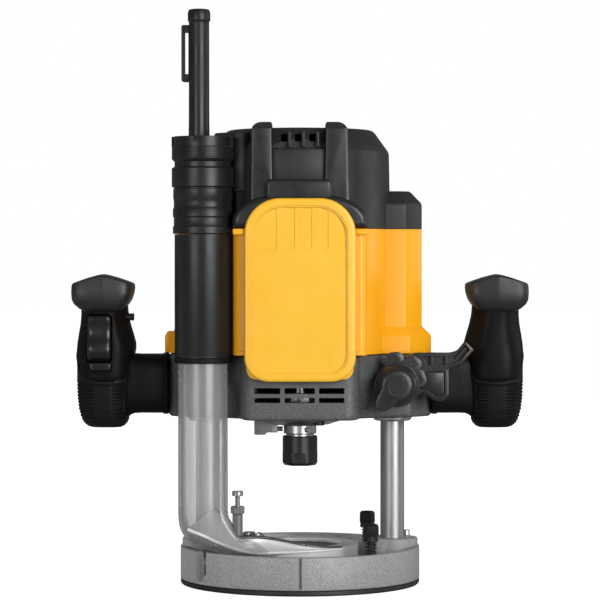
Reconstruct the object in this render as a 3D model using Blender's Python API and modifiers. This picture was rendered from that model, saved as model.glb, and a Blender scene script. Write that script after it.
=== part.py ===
"""Plunge router of the half-inch class, with a telescoping dust duct.

Frame: the sole rests on Z = 0 and the spindle turns about the Z axis. The front of the
machine, with its cover, faces -Y, and the switch handle is on the -X side.
Every length below is in millimetres; MM turns it into Blender's metres.
The head stands at the top of its plunge.
"""

import math

import bmesh
import bpy
from mathutils import Matrix, Vector

MM = 0.001
GAP = 0.3                                # between two pieces that rest on each other

# Base
BASE_R = 85.0
BASE_TOP = 26.5
SOLE_TOP = 3.3
FLOOR_Z = 14.0                           # floor inside the rim of the base
HOOD_R = 41.0                            # dust hood's ring, around the cutter
HOOD_TOP = 27.5
COLUMN_X = 65.5
COLUMN_R = 8.5
COLUMN_FOOT = 8.3
COLUMN_TOP = 172.0
FENCE_Y = 47.0                           # the two fence rods run along X at +-FENCE_Y
FENCE_Z = 13.5
FENCE_ROD_R = 4.0
CLAMP_X = 49.0
TURRET = (-38.0, 58.0)
TURRET_ARM = 8.2                         # turret axis to each of its stops
TURRET_ANGLE = 201.5                     # direction of the tall stop
TURRET_TOP = 27.0

# Head
PLUNGE = 80.0
CAST_Z0, CAST_Z1 = 118.0, 162.7          # motor bracket
HOUSING_Z0, HOUSING_Z1 = 163.0, 250.2    # yellow housing
CAP_Z0, CAP_Z1 = 250.5, 320.0            # black top cap
SHELL_R = 64.0
BOSS = 27.0                              # apothem of the bracket's eight-sided column bosses
TOWER = 20.5                             # apothem of the column towers above them
TOWER_TUBE_R = 15.0
TOWER_BORE_R = 12.5
TOWER_CEILING = 263.0
FRAME_X, FRAME_FRONT = 46.0, -66.0       # square front of the housing
BLOCK_X, BLOCK_FRONT, BLOCK_BACK = 39.0, -62.0, 55.0
COVER_X, COVER_Z0, COVER_Z1 = 38.2, 145.3, 271.0
COVER_FRONT = -73.0
POST_IN, POST_OUT, POST_TOP = 18.0, 33.0, 323.5

# Dust duct, beside the left column
DUCT = (-67.0, -52.0)
SLEEVE_R, SLEEVE_BORE_R = 19.5, 18.0
RISER_R, RISER_BORE_R, RISER_TOP = 17.2, 15.2, 190.0
DUCT_BEND_Z = 56.0
DUCT_WALL = 1.8

# Handles
ARM_Z, ARM_R = 140.3, 21.5
HANDLE_X = 140.0
TRIGGER_X, TRIGGER_HALF = -141.0, 8.6
TRIGGER_Z0, TRIGGER_Z1 = 157.0, 189.5

# Controls
HUB_X, HUB_Z = 67.0, 142.0               # plunge lock
ROD = (-45.6, 55.0)                      # depth stop rod
ROD_Z0, ROD_Z1 = 142.5, 300.0
LUG_Z = 152.0
DIAL = (25.0, 54.5, 285.0)
CORD = (-71.5, 0.0)

# Spindle
NUT_Z0, NUT_Z1 = 83.0, 104.0
NUT_R = 12.4
COLLAR_Z0, COLLAR_Z1, COLLAR_R = 105.4, 111.9, 11.7
LOCK_PIN_Z = 108.7
RETAINER_CIRCLE = 27.0                   # circle of the bearing retainer's screws
RETAINER_ANGLES = (-61, 159)


# ---------------------------------------------------------------- scene and materials

def clear_scene():
    for obj in list(bpy.data.objects):
        bpy.data.objects.remove(obj)


def new_collection(name):
    made = bpy.data.collections.new(name)
    bpy.context.scene.collection.children.link(made)
    return made


def material(name, colour, roughness, metallic=0.0, alpha=1.0):
    made = bpy.data.materials.new(name)
    made.use_nodes = True
    shader = made.node_tree.nodes["Principled BSDF"]
    shader.inputs["Base Color"].default_value = (*colour, 1.0)
    shader.inputs["Roughness"].default_value = roughness
    shader.inputs["Metallic"].default_value = metallic
    shader.inputs["Alpha"].default_value = alpha
    return made


clear_scene()
ROUTER = new_collection("Plunge router")
CUTTERS = new_collection("Cutters")
YELLOW = material("Yellow housing", (0.95, 0.43, 0.02), 0.42)
BLACK = material("Black nylon", (0.025, 0.025, 0.027), 0.45)
RUBBER = material("Black rubber", (0.018, 0.018, 0.018), 0.7)
CAST = material("Cast aluminium", (0.45, 0.45, 0.46), 0.55, 0.7)
STEEL = material("Ground steel", (0.62, 0.62, 0.63), 0.25, 1.0)
DARK_STEEL = material("Blackened steel", (0.05, 0.05, 0.055), 0.4, 0.8)
CLEAR = material("Clear plastic", (0.75, 0.76, 0.78), 0.15, 0.0, 0.35)
PHENOLIC = material("Phenolic sole", (0.02, 0.02, 0.022), 0.6)
COPPER = material("Copper windings", (0.6, 0.28, 0.12), 0.4, 0.8)
LAMINATION = material("Laminated iron", (0.3, 0.3, 0.31), 0.5, 0.8)


# ---------------------------------------------------------------- shapes

def placed(obj, centre, axis="Z"):
    """Sets an object's place, and turns its local Z towards the axis."""
    turns = {"Z": (0, 0, 0), "X": (0, math.pi / 2, 0), "Y": (-math.pi / 2, 0, 0)}
    obj.location = Vector(centre) * MM
    obj.rotation_euler = turns[axis]
    return obj


def from_bmesh(name, bm):
    mesh = bpy.data.meshes.new(name)
    bm.to_mesh(mesh)
    bm.free()
    obj = bpy.data.objects.new(name, mesh)
    ROUTER.objects.link(obj)
    return obj


def cylinder(name, radius, length, centre, axis="Z", segments=24, end_radius=None, turn=0.0):
    """A cylinder about its centre, or a cone if end_radius is given. turn is in degrees."""
    bm = bmesh.new()
    bmesh.ops.create_cone(
        bm, cap_ends=True, segments=segments, radius1=radius * MM,
        radius2=(radius if end_radius is None else end_radius) * MM,
        depth=length * MM, matrix=Matrix.Rotation(math.radians(turn), 4, "Z"))
    return placed(from_bmesh(name, bm), centre, axis)


def upright(name, radius, z0, z1, centre=(0.0, 0.0), segments=24, end_radius=None, turn=0.0):
    """A cylinder or cone that stands from z0 to z1."""
    place = (centre[0], centre[1], (z0 + z1) / 2)
    return cylinder(name, radius, z1 - z0, place, "Z", segments, end_radius, turn)


def box(name, low, high, bevel=0.0, segments=2):
    """A box between two corners, with its edges rounded by a Bevel modifier."""
    size = Vector(high) - Vector(low)
    bm = bmesh.new()
    bmesh.ops.create_cube(bm, size=MM, matrix=Matrix.Diagonal((*size, 1)))
    obj = placed(from_bmesh(name, bm), (Vector(high) + Vector(low)) / 2)
    if bevel:
        edges = obj.modifiers.new("Rounded edges", "BEVEL")
        edges.width = bevel * MM
        edges.segments = segments
    return obj


def turned(name, profile, centre=(0.0, 0.0, 0.0), axis="Z", segments=32, closed=False):
    """A turned piece. The (radius, height) profile runs down its outer side."""
    mesh = bpy.data.meshes.new(name)
    points = [(radius * MM, 0, height * MM) for radius, height in profile]
    edges = [(i, i + 1) for i in range(len(points) - 1)]
    if closed:
        edges.append((len(points) - 1, 0))
    mesh.from_pydata(points, edges, [])
    obj = bpy.data.objects.new(name, mesh)
    ROUTER.objects.link(obj)
    lathe = obj.modifiers.new("Lathe", "SCREW")
    lathe.axis = "Z"
    lathe.steps = lathe.render_steps = segments
    lathe.use_merge_vertices = True
    lathe.merge_threshold = 0.00001
    return placed(obj, centre, axis)


def eight_sided(name, profile, x):
    """An eight-sided tower on X with a face to the front. Its profile gives apothems."""
    stretch = 1 / math.cos(math.pi / 8)
    tower = turned(name, [(apothem * stretch, z) for apothem, z in profile], (x, 0, 0), "Z", 8)
    tower.rotation_euler = (0, 0, math.pi / 8)
    return tower


def ring(name, outer, inner, z0, z1, centre=(0.0, 0.0), segments=32):
    profile = [(outer, z1), (outer, z0), (inner, z0), (inner, z1)]
    return turned(name, profile, (*centre, 0), "Z", segments, closed=True)


def mesh_from_curve(curve_object):
    """Replaces a curve object by a mesh with welded caps."""
    bpy.context.view_layer.update()
    graph = bpy.context.evaluated_depsgraph_get()
    mesh = bpy.data.meshes.new_from_object(curve_object.evaluated_get(graph))
    bm = bmesh.new()
    bm.from_mesh(mesh)
    bmesh.ops.remove_doubles(bm, verts=bm.verts, dist=0.000002)
    bmesh.ops.recalc_face_normals(bm, faces=bm.faces)
    bm.to_mesh(mesh)
    bm.free()
    name, matrix = curve_object.name, curve_object.matrix_world.copy()
    bpy.data.objects.remove(curve_object)
    obj = bpy.data.objects.new(name, mesh)
    obj.matrix_world = matrix
    ROUTER.objects.link(obj)
    return obj


def plate(name, outline, start, end, facing="Z"):
    """A flat plate between two heights, or facing the front with an (x, z) outline and y heights."""
    curve = bpy.data.curves.new(name, "CURVE")
    curve.dimensions = "2D"
    curve.fill_mode = "BOTH"
    curve.extrude = (end - start) / 2 * MM
    spline = curve.splines.new("POLY")
    spline.points.add(len(outline) - 1)
    for point, (across, along) in zip(spline.points, outline):
        point.co = (across * MM, along * MM, 0, 1)
    spline.use_cyclic_u = True
    obj = bpy.data.objects.new(name, curve)
    ROUTER.objects.link(obj)
    middle = (start + end) / 2 * MM
    if facing == "Z":
        obj.location = (0, 0, middle)
    else:
        obj.location = (0, middle, 0)
        obj.rotation_euler = (math.pi / 2, 0, 0)
    return mesh_from_curve(obj)


def rounded(corners, radii, steps=5):
    """An outline with each corner rounded by an arc. radii is one number or one for each corner."""
    if not isinstance(radii, (list, tuple)):
        radii = [radii] * len(corners)
    outline = []
    for i, (corner, radius) in enumerate(zip(corners, radii)):
        here = Vector(corner)
        if radius == 0:
            outline.append(tuple(here))
            continue
        before = (Vector(corners[i - 1]) - here).normalized()
        after = (Vector(corners[(i + 1) % len(corners)]) - here).normalized()
        half = before.angle(after) / 2
        start = here + before * radius / math.tan(half)
        end = here + after * radius / math.tan(half)
        middle = here + (before + after).normalized() * radius / math.sin(half)
        for k in range(steps + 1):
            arm = (start - middle).slerp(end - middle, k / steps).normalized()
            outline.append(tuple(middle + arm * radius))
    return outline


def rectangle(x0, z0, x1, z1):
    return [(x0, z0), (x1, z0), (x1, z1), (x0, z1)]


def loft(name, sections):
    """A closed skin through sections of the same number of points."""
    bm = bmesh.new()
    rings = [[bm.verts.new(Vector(point) * MM) for point in section] for section in sections]
    count = len(rings[0])
    for lower, upper in zip(rings, rings[1:]):
        for i in range(count):
            j = (i + 1) % count
            bm.faces.new((lower[i], lower[j], upper[j], upper[i]))
    bm.faces.new(rings[0])
    bm.faces.new(rings[-1])
    bmesh.ops.recalc_face_normals(bm, faces=bm.faces)
    return from_bmesh(name, bm)


def tube(name, points, radius, bevel_resolution=2, cyclic=False):
    """A round wire through points."""
    curve = bpy.data.curves.new(name, "CURVE")
    curve.dimensions = "3D"
    curve.bevel_depth = radius * MM
    curve.bevel_resolution = bevel_resolution
    curve.use_fill_caps = True
    spline = curve.splines.new("POLY")
    spline.points.add(len(points) - 1)
    for point, place in zip(spline.points, points):
        point.co = (*(Vector(place) * MM), 1)
    spline.use_cyclic_u = cyclic
    obj = bpy.data.objects.new(name, curve)
    ROUTER.objects.link(obj)
    return mesh_from_curve(obj)


def coil(name, radius, wire, z0, z1, turns, centre, per_turn=9):
    """A compression spring about a vertical axis."""
    count = turns * per_turn
    points = []
    for i in range(count + 1):
        angle = 2 * math.pi * i / per_turn
        height = z0 + wire + (z1 - z0 - 2 * wire) * i / count
        points.append((centre[0] + radius * math.cos(angle),
                       centre[1] + radius * math.sin(angle), height))
    return tube(name, points, wire, 0)


def combine(target, operation, tools):
    for tool in tools:
        step = target.modifiers.new(operation.title(), "BOOLEAN")
        step.operation = operation
        step.solver = "EXACT"
        step.object = tool
        tool.hide_render = True
        tool.display_type = "WIRE"
        if tool.name in ROUTER.objects:
            ROUTER.objects.unlink(tool)
            CUTTERS.objects.link(tool)
    return target


def join(target, *tools):
    return combine(target, "UNION", tools)


def cut(target, *tools):
    return combine(target, "DIFFERENCE", tools)


def finish(obj, look):
    """Gives a piece its material and smooth shading with sharp edges."""
    obj.data.materials.clear()
    obj.data.materials.append(look)
    obj.data.shade_smooth()
    obj.data.set_sharp_from_angle(angle=math.radians(32))
    return obj


def axis_empty(name, place):
    """An empty on a joint's axis. Its pieces are parented to it."""
    empty = bpy.data.objects.new(name, None)
    empty.location = Vector(place) * MM
    ROUTER.objects.link(empty)
    bpy.context.view_layer.update()
    return empty


def hang(empty, *pieces):
    for piece in pieces:
        piece.parent = empty
        piece.matrix_parent_inverse = empty.matrix_world.inverted()


# ---------------------------------------------------------------- base

def at_angle(radius, degrees, centre=(0.0, 0.0)):
    angle = math.radians(degrees)
    return (centre[0] + radius * math.cos(angle), centre[1] + radius * math.sin(angle))


SOLE_SCREW_ANGLES = (90, 210, 330)
SOLE_SCREW_CIRCLE = 60.0


def base_casting():
    rim = [(BASE_R - 0.8, BASE_TOP), (BASE_R, BASE_TOP - 0.8), (BASE_R, SOLE_TOP + 1.0),
           (BASE_R - 0.7, SOLE_TOP + GAP), (31.0, SOLE_TOP + GAP), (31.0, FLOOR_Z),
           (79.5, FLOOR_Z), (80.5, BASE_TOP)]
    base = turned("base_casting", rim, segments=44, closed=True)
    for side in (-1, 1):
        x, y = side * COLUMN_X, side * FENCE_Y
        join(base, upright("column_socket", 18.0, 9.0, 32.0, (x, 0), 20))
        join(base, box("fence_channel", (-62.0, y - 5.5, 9.0), (62.0, y + 5.5, 21.0)))
        join(base, upright("clamp_boss", 8.0, 9.0, 23.5, (CLAMP_X, y), 12))
    join(base, upright("turret_boss", 13.0, 9.0, 22.0, TURRET, 16))
    for side in (-1, 1):
        x, y = side * COLUMN_X, side * FENCE_Y
        cut(base, upright("column_hole", COLUMN_R + GAP, 8.0, 40.0, (x, 0), 16))
        cut(base, cylinder("rod_hole", FENCE_ROD_R + 0.1, 200.0, (0, y, FENCE_Z), "X", 10))
        cut(base, upright("clamp_thread", 3.3, FENCE_Z, 40.0, (CLAMP_X, y), 8))
    cut(base, upright("turret_relief", 13.6, 21.9, 40.0, TURRET, 16))
    cut(base, upright("turret_thread", 2.6, 12.0, 40.0, TURRET, 10))
    for angle in SOLE_SCREW_ANGLES:
        cut(base, upright("sole_thread", 2.3, 0.0, 10.0, at_angle(SOLE_SCREW_CIRCLE, angle), 8))
    # A drilled flute on the rim below the duct, and the centre mark at the front.
    flute = [(0.0, 40.0), (4.5, 40.0), (4.5, 10.5), (0.0, 6.4)]
    cut(base, turned("flute", flute, (-70.2, -50.9, 0), segments=12))
    cut(base, box("centre_mark", (-1.2, -BASE_R - 5, 6.0), (1.2, -BASE_R + 0.7, 24.5)))
    return finish(base, CAST)


def sole_plate():
    sole = ring("sole_plate", BASE_R - 0.4, 29.0, 0.0, SOLE_TOP, segments=44)
    for angle in SOLE_SCREW_ANGLES:
        place = at_angle(SOLE_SCREW_CIRCLE, angle)
        cut(sole, upright("sole_hole", 2.6, -1.0, 5.0, place, 8))
        cut(sole, upright("sole_countersink", 5.6, -0.6, 2.6, place, 8, 2.6))
    return finish(sole, PHENOLIC)


def sole_screws():
    profile = [(0.0, 9.5), (2.0, 9.5), (2.0, 2.6), (4.3, 0.4), (0.0, 0.4)]
    for number, angle in enumerate(SOLE_SCREW_ANGLES, 1):
        place = (*at_angle(SOLE_SCREW_CIRCLE, angle), 0)
        screw = turned(f"sole_screw_{number}", profile, place, segments=8)
        cross = [box("driver_slot", (place[0] - dx, place[1] - dy, 0.0),
                     (place[0] + dx, place[1] + dy, 1.3)) for dx, dy in ((2.4, 0.5), (0.5, 2.4))]
        finish(cut(screw, *cross), STEEL)


def columns():
    bore, floor = 6.6, 13.0
    profile = [(0.0, floor), (bore, floor), (bore, COLUMN_TOP), (COLUMN_R - 0.6, COLUMN_TOP),
               (COLUMN_R, COLUMN_TOP - 0.6), (COLUMN_R, COLUMN_FOOT), (0.0, COLUMN_FOOT)]
    for name, side in (("left_column", -1), ("right_column", 1)):
        finish(turned(name, profile, (side * COLUMN_X, 0, 0), segments=20), STEEL)


def plunge_springs():
    """One in each hollow column, up to the ceiling of the head's tower."""
    for name, side in (("left_plunge_spring", -1), ("right_plunge_spring", 1)):
        spring = coil(name, 4.9, 0.75, 13.4, TOWER_CEILING - 0.4, 9, (side * COLUMN_X, 0), 6)
        finish(spring, STEEL)


def fence_clamps():
    """Two thumb screws that clamp the fence rods, each with its spring."""
    head = [(0.0, 44.0), (3.6, 44.0), (4.4, 45.8), (5.7, 44.4), (5.7, 37.0),
            (4.8, 36.5), (4.8, 34.0), (2.6, 34.0), (2.6, 18.2), (0.0, 18.2)]
    for name, side in (("front", -1), ("rear", 1)):
        place = (CLAMP_X, side * FENCE_Y, 0)
        screw = turned(f"fence_clamp_screw_{name}", head, place, segments=10)
        finish(screw, BLACK)
        spring = coil(f"fence_clamp_spring_{name}", 3.9, 0.6, 23.8, 33.7, 3, place[:2], 6)
        finish(spring, DARK_STEEL)
        hang(axis_empty(f"{name}_clamp_axis", place), screw, spring)


def duct_sections(shrink):
    """Sections of the duct from the riser down to the ring, each shrunk by a wall."""
    along = Vector((-DUCT[0], -DUCT[1], 0)).normalized()
    side = Vector((along.y, -along.x, 0))
    # angle from upright, reach along the base, height, half height, half width
    stations = ((0, 0.0, DUCT_BEND_Z, 17.2, 17.2), (20, 1.2, 47.5, 16.4, 17.3),
                (48, 6.5, 40.6, 13.4, 17.3), (75, 20.0, 31.3, 7.8, 16.8),
                (88, 33.0, 28.2, 6.6, 19.6), (90, 44.0, 24.0, 5.2, 20.6),
                (90, 56.0, 21.3, 5.0, 20.0))
    sections = []
    count = 16
    for degrees, reach, height, tall, wide in stations:
        lean = math.radians(degrees)
        up = along * math.cos(lean) + Vector((0, 0, math.sin(lean)))
        centre = Vector((*DUCT, height)) + along * reach
        power = 2 / (2 + 1.2 * degrees / 90)
        points = []
        for i in range(count):
            angle = 2 * math.pi * i / count
            c, s = math.cos(angle), math.sin(angle)
            across = math.copysign(abs(c) ** power, c) * (wide - shrink)
            above = math.copysign(abs(s) ** power, s) * (tall - shrink)
            points.append(centre + side * across + up * above)
        sections.append(points)
    return sections


def dust_hood():
    """Clear riser, bend and ring in one moulding. The ring stands on the base's floor."""
    hood = upright("dust_hood", HOOD_R, FLOOR_Z + 0.4, HOOD_TOP, segments=36)
    riser = upright("riser", RISER_R, DUCT_BEND_Z - 1, RISER_TOP, DUCT, 20)
    join(hood, loft("duct_skin", duct_sections(0.0)), riser)
    inside = duct_sections(DUCT_WALL)
    top = [Vector(point) + Vector((0, 0, 4)) for point in inside[0]]
    cut(hood, loft("duct_inside", [top] + inside))
    cut(hood, upright("riser_inside", RISER_BORE_R, DUCT_BEND_Z + 1, RISER_TOP + 5, DUCT, 20))
    cut(hood, upright("ring_inside", HOOD_R - 2.2, 0.0, HOOD_TOP - 1.8, segments=36))
    cut(hood, upright("cutter_opening", 29.0, 0.0, 50.0, segments=36))
    # The spindle lock dips into this notch at full plunge.
    cut(hood, box("lock_notch", (-34.4, -11.5, HOOD_TOP - 5), (-20.0, 5.5, 50.0)))
    return finish(hood, CLEAR)


def turret():
    """Three-step turret, its stop screws and its pivot."""
    axis = axis_empty("turret_axis", (*TURRET, 0))
    body = ring("turret", 12.6, 3.0, 22.3, TURRET_TOP, TURRET, 16)
    steps = (("high", 0, 42.6, 59.6), ("middle", 120, 29.5, 33.4), ("low", 240, 27.3, 31.2))
    for name, turn, post_top, head_top in steps:
        place = at_angle(TURRET_ARM, TURRET_ANGLE + turn, TURRET)
        join(body, upright(f"post_{name}", 3.8, 24.0, post_top, place, 10))
        cut(body, upright(f"thread_{name}", 2.15, 24.5, 60.0, place, 8))
        profile = [(0.0, head_top), (4.1, head_top), (4.1, head_top - 3.6),
                   (1.75, head_top - 3.6), (1.75, 25.2), (0.0, 25.2)]
        screw = turned(f"turret_stop_{name}", profile, (*place, 0), segments=8)
        hang(axis, finish(screw, STEEL))
    place = at_angle(TURRET_ARM, TURRET_ANGLE, TURRET)
    nut = upright("turret_lock_nut", 4.7, 42.9, 48.3, place, 6)
    finish(cut(nut, upright("nut_thread", 2.15, 40.0, 60.0, place, 8)), STEEL)
    pivot_profile = [(0.0, 29.5), (3.7, 29.5), (3.7, TURRET_TOP + GAP), (2.3, TURRET_TOP + GAP),
                     (2.3, 13.0), (0.0, 13.0)]
    pivot = turned("turret_pivot_screw", pivot_profile, (*TURRET, 0), segments=10)
    finish(cut(pivot, box("pivot_slot", (-44.0, 57.4, 28.5), (-32.0, 58.6, 30.0))), STEEL)
    hang(axis, finish(body, CAST), nut)


# ---------------------------------------------------------------- head: bracket and shells

def towers(name, radius, z0, z1, segments=24):
    """A pair of upright cylinders on the columns."""
    return [upright(f"{name}_{side}", radius, z0, z1, (side * COLUMN_X, 0), segments)
            for side in (-1, 1)]


def motor_bracket():
    """The cast head: a round flange over a cross of a block and two column bosses."""
    bracket = upright("motor_bracket", SHELL_R - 0.6, 142.0, CAST_Z1, segments=40)
    half = [(BLOCK_X, BLOCK_FRONT), (41, -38), (50, -33), (60, -24), (60, 24), (45, 38),
            (36, 42.5), (30, 44), (20, BLOCK_BACK)]
    corners = [(-x, y) for x, y in half[::-1]] + half
    radii = [9, 0, 0, 0, 0, 0, 0, 3, 9]
    block = rounded(corners, radii + radii[::-1], 4)
    join(bracket, plate("bracket_block", block, CAST_Z0, CAST_Z1 - 0.2))
    for side in (-1, 1):
        boss = [(0.0, CAST_Z1 - 0.1), (BOSS, CAST_Z1 - 0.1), (BOSS, CAST_Z0 + 0.2),
                (0.0, CAST_Z0 + 0.2)]
        join(bracket, eight_sided("column_boss", boss, side * COLUMN_X))
    join(bracket, box("rod_lug", (-54, 44, 142.3), (-33, 63, 162.0), 1.5, 1))
    cut(bracket, upright("fan_chamber", 50.0, 127.0, 170.0, segments=30))
    cut(bracket, upright("bearing_seat", 20.3, 110.0, 135.0, segments=24))
    cut(bracket, *towers("bush_seat", 12.3, 110.0, 136.4, 20))
    cut(bracket, *towers("column_bore", 9.6, 130.0, 170.0, 18))
    slots = ((-31.5, -13.5), (-10.4, 10.4), (13.5, 31.0))
    for x0, x1 in slots:
        for z0, z1 in ((137.0, 140.6), (130.8, 134.2)):
            cut(bracket, box("exhaust_slot", (x0, -70, z0), (x1, -40, z1)))
    cut(bracket, cylinder("bolt_hole", 4.0, 30.0, (HUB_X, -20, HUB_Z), "Y", 12))
    cut(bracket, upright("rod_guide", 3.9, 135.0, 170.0, ROD, 12))
    cut(bracket, cylinder("pinion_hole", 3.9, 30.0, (-37.4, 60, LUG_Z), "Y", 12))
    cut(bracket, cylinder("clamp_hole", 2.8, 10.0, (-52.0, ROD[1], LUG_Z), "X", 12))
    for angle in RETAINER_ANGLES:
        place = at_angle(RETAINER_CIRCLE, angle)
        cut(bracket, upright("retainer_thread", 2.3, 110.0, 126.0, place, 10))
    return finish(bracket, CAST)


def frame_outline(x, front, radius):
    return rounded(rectangle(-x, front, x, 0), [radius, radius, 0, 0])


def motor_housing():
    housing = upright("motor_housing", SHELL_R, HOUSING_Z0, HOUSING_Z1, segments=40)
    join(housing, plate("housing_frame", frame_outline(FRAME_X, FRAME_FRONT, 7),
                        HOUSING_Z0 + 0.2, HOUSING_Z1 - 0.2))
    join(housing, plate("frame_lip", frame_outline(FRAME_X - 0.1, FRAME_FRONT - 1.4, 8),
                        HOUSING_Z1 - 4.2, HOUSING_Z1 - 0.1))
    for side in (-1, 1):
        tower = [(0.0, HOUSING_Z1 - 0.3), (TOWER, HOUSING_Z1 - 0.3), (TOWER, 182.0),
                 (BOSS, 175.5), (BOSS, HOUSING_Z0 + 0.1), (0.0, HOUSING_Z0 + 0.1)]
        join(housing, eight_sided("tower", tower, side * COLUMN_X))
    chamber = upright("motor_chamber", SHELL_R - 4.0, 150.0, 260.0, segments=32)
    cut(chamber, *towers("tube_wall", TOWER_TUBE_R, 140.0, 270.0, 20))
    cut(housing, chamber)
    cut(housing, plate("frame_inside", frame_outline(FRAME_X - 4, FRAME_FRONT + 4, 5),
                       150.0, 260.0))
    for angle in (40, 140, 220, 320):
        rib = box("stator_rib", (42.4, -2, 178), (62.0, 2, 236))
        rib.matrix_world = (Matrix.Rotation(math.radians(angle), 4, "Z")
                            @ Matrix.Translation(rib.location))
        join(housing, rib)
    cut(housing, box("cover_window", (-30, -80, 175), (30, -50, 240)))
    cut(housing, *towers("tower_bore", TOWER_BORE_R, 150.0, 260.0, 20))
    return finish(housing, YELLOW)


def arch_outline(half, low, high, power, steps=14):
    """A flattened arch: half a superellipse standing on its two feet."""
    outline = []
    for i in range(steps + 1):
        angle = math.pi * i / steps
        c, s = math.cos(angle), math.sin(angle)
        outline.append((half * math.copysign(abs(c) ** (2 / power), c),
                        low + (high - low) * abs(s) ** (2 / power)))
    return outline


def top_cap():
    shell = [(0.0, CAP_Z1), (51.0, CAP_Z1), (53.5, CAP_Z1 - 1.2), (SHELL_R - 0.8, 304.5),
             (SHELL_R, CAP_Z0), (SHELL_R - 4, CAP_Z0), (58.5, 300.0), (46.5, 315.0),
             (0.0, 315.0)]
    cap = turned("top_cap", shell, segments=40)
    arch = arch_outline(FRAME_X + 0.3, CAP_Z0 + 0.2, 275.6, 2.7)
    join(cap, plate("cover_arch", arch, FRAME_FRONT - 1.5, -45, "Y"))
    for side in (-1, 1):
        outline = [(side * x, z) for x, z in (
            (POST_IN, 262.0), (POST_OUT, 262.0), (POST_OUT - 0.8, 317.5),
            (POST_OUT - 7.0, POST_TOP), (POST_IN, POST_TOP))]
        post = plate("post", outline, FRAME_FRONT - 1.3, 24, "Y")
        join(cap, cut(post, box("post_inside", (-50, -55, 250), (50, 50, 317))))
        tower = [(0.0, 277.0), (11.5, 277.0), (TOWER, 268.0), (TOWER, CAP_Z0 + 0.3),
                 (0.0, CAP_Z0 + 0.3)]
        join(cap, eight_sided("tower_cap", tower, side * COLUMN_X))
    join(cap, box("bridge", (-22, -71, 271.4), (22, -50, 285.2), 1.6, 1))
    join(cap, box("vent_plate", (-19, -63.5, 283), (19, -50, 305)))
    join(cap, upright("cord_boss", 11.2, 262.0, 283.0, CORD, 18))
    join(cap, upright("bearing_boss", 17.0, 258.0, 317.0, segments=16))
    cut(cap, upright("upper_bearing_seat", 13.3, 250.0, 272.5, segments=18))
    cut(cap, *towers("spring_seat", TOWER_BORE_R, 240.0, TOWER_CEILING, 20))
    for x in (-10.4, -0.6, 9.2):
        cut(cap, box("air_slot", (x - 2.3, -90, 305.5), (x + 2.3, -46, 330)))
    for i in range(4):
        x = -32.0 + 10.0 * i
        cut(cap, box("rear_slot", (x - 1.8, 40, 266), (x + 1.8, 80, 292)))
    cut(cap, box("dial_slot", (DIAL[0] - 3.6, 42, DIAL[2] - 12), (DIAL[0] + 3.6, 80, DIAL[2] + 12)))
    cut(cap, upright("guard_seat", 8.1, 266.0, 300.0, CORD, 16))
    cut(cap, cylinder("cord_passage", 4.0, 34.0, (-54.5, 0, 271.0), "X", 10))
    return finish(cap, BLACK)


def cover_outline(inset):
    corners = rectangle(-COVER_X + inset, COVER_Z0 + inset, COVER_X - inset, COVER_Z1 - inset)
    return rounded(corners, [17 - inset * 0.8] * 2 + [25 - inset * 0.8] * 2, 5)


def front_cover():
    """The panel over the electronics: a rim, a sunk field and vertical ribs."""
    back = FRAME_FRONT - 1.8
    cover = plate("front_cover", cover_outline(0.0), COVER_FRONT, back, "Y")
    edge = cover.modifiers.new("Rounded rim", "BEVEL")
    edge.width = 1.0 * MM
    edge.segments = 1
    edge.limit_method = "ANGLE"
    edge.angle_limit = math.radians(60)
    chin = rounded(rectangle(-COVER_X + 1.5, COVER_Z0 + 1.5, COVER_X - 1.5, HOUSING_Z0 - 0.5),
                   [13, 13, 0, 0])
    join(cover, plate("cover_chin", chin, back - 1.6, -SHELL_R + GAP, "Y"))
    cut(cover, plate("cover_field", cover_outline(5.2), -80, COVER_FRONT + 1.3, "Y"))
    for i in range(4):
        x = -17.4 + 11.6 * i
        join(cover, box("cover_rib", (x - 2.9, COVER_FRONT + 0.3, 238), (x + 2.9, -70, 263)))
    cut(cover, plate("cover_inside", cover_outline(4.0), COVER_FRONT + 4.0, -50, "Y"))
    return finish(cover, YELLOW)


# ---------------------------------------------------------------- head: motor

def motor_parts():
    """Stator, bearings, brush holders and electronics, all fixed to the head."""
    finish(ring("stator", 42.0, 24.6, 180.0, 235.0, segments=24), LAMINATION)
    finish(ring("upper_bearing", 13.0, 6.0, 262.0, 271.5, segments=20), STEEL)
    finish(ring("lower_bearing", 20.0, 10.1, 118.6, 133.0, segments=20), STEEL)
    for name, side in (("left_brush_holder", -1), ("right_brush_holder", 1)):
        ends = sorted((side * 14.3, side * 49.8))
        holder = box(name, (ends[0], -6, 238), (ends[1], 6, 249.6), 1.2, 1)
        finish(holder, COPPER)
    finish(box("electronics_module", (-24, -61, 178), (24, -49.5, 236), 1.5, 1), BLACK)


def bearing_retainer():
    profile = [(33.0, 117.7), (33.0, 116.0), (22.0, 112.2), (12.2, 112.2), (12.2, 117.7)]
    retainer = turned("bearing_retainer", profile, segments=24, closed=True)
    for angle in RETAINER_ANGLES:
        place = at_angle(RETAINER_CIRCLE, angle)
        cut(retainer, upright("screw_hole", 2.6, 100.0, 125.0, place, 8))
        cut(retainer, upright("screw_seat", 4.5, 100.0, 116.1, place, 12))
    cut(retainer, box("lock_slot", (-40, -10.4, 100), (-8, 4.4, 125)))
    finish(retainer, STEEL)
    head = [(0.0, 125.0), (2.0, 125.0), (2.0, 115.8), (4.0, 115.8), (4.0, 112.6), (2.0, 112.6),
            (1.6, 114.0), (0.0, 114.0)]
    for number, angle in enumerate(RETAINER_ANGLES, 1):
        place = (*at_angle(RETAINER_CIRCLE, angle), 0)
        finish(turned(f"retainer_screw_{number}", head, place, segments=10), DARK_STEEL)


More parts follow.
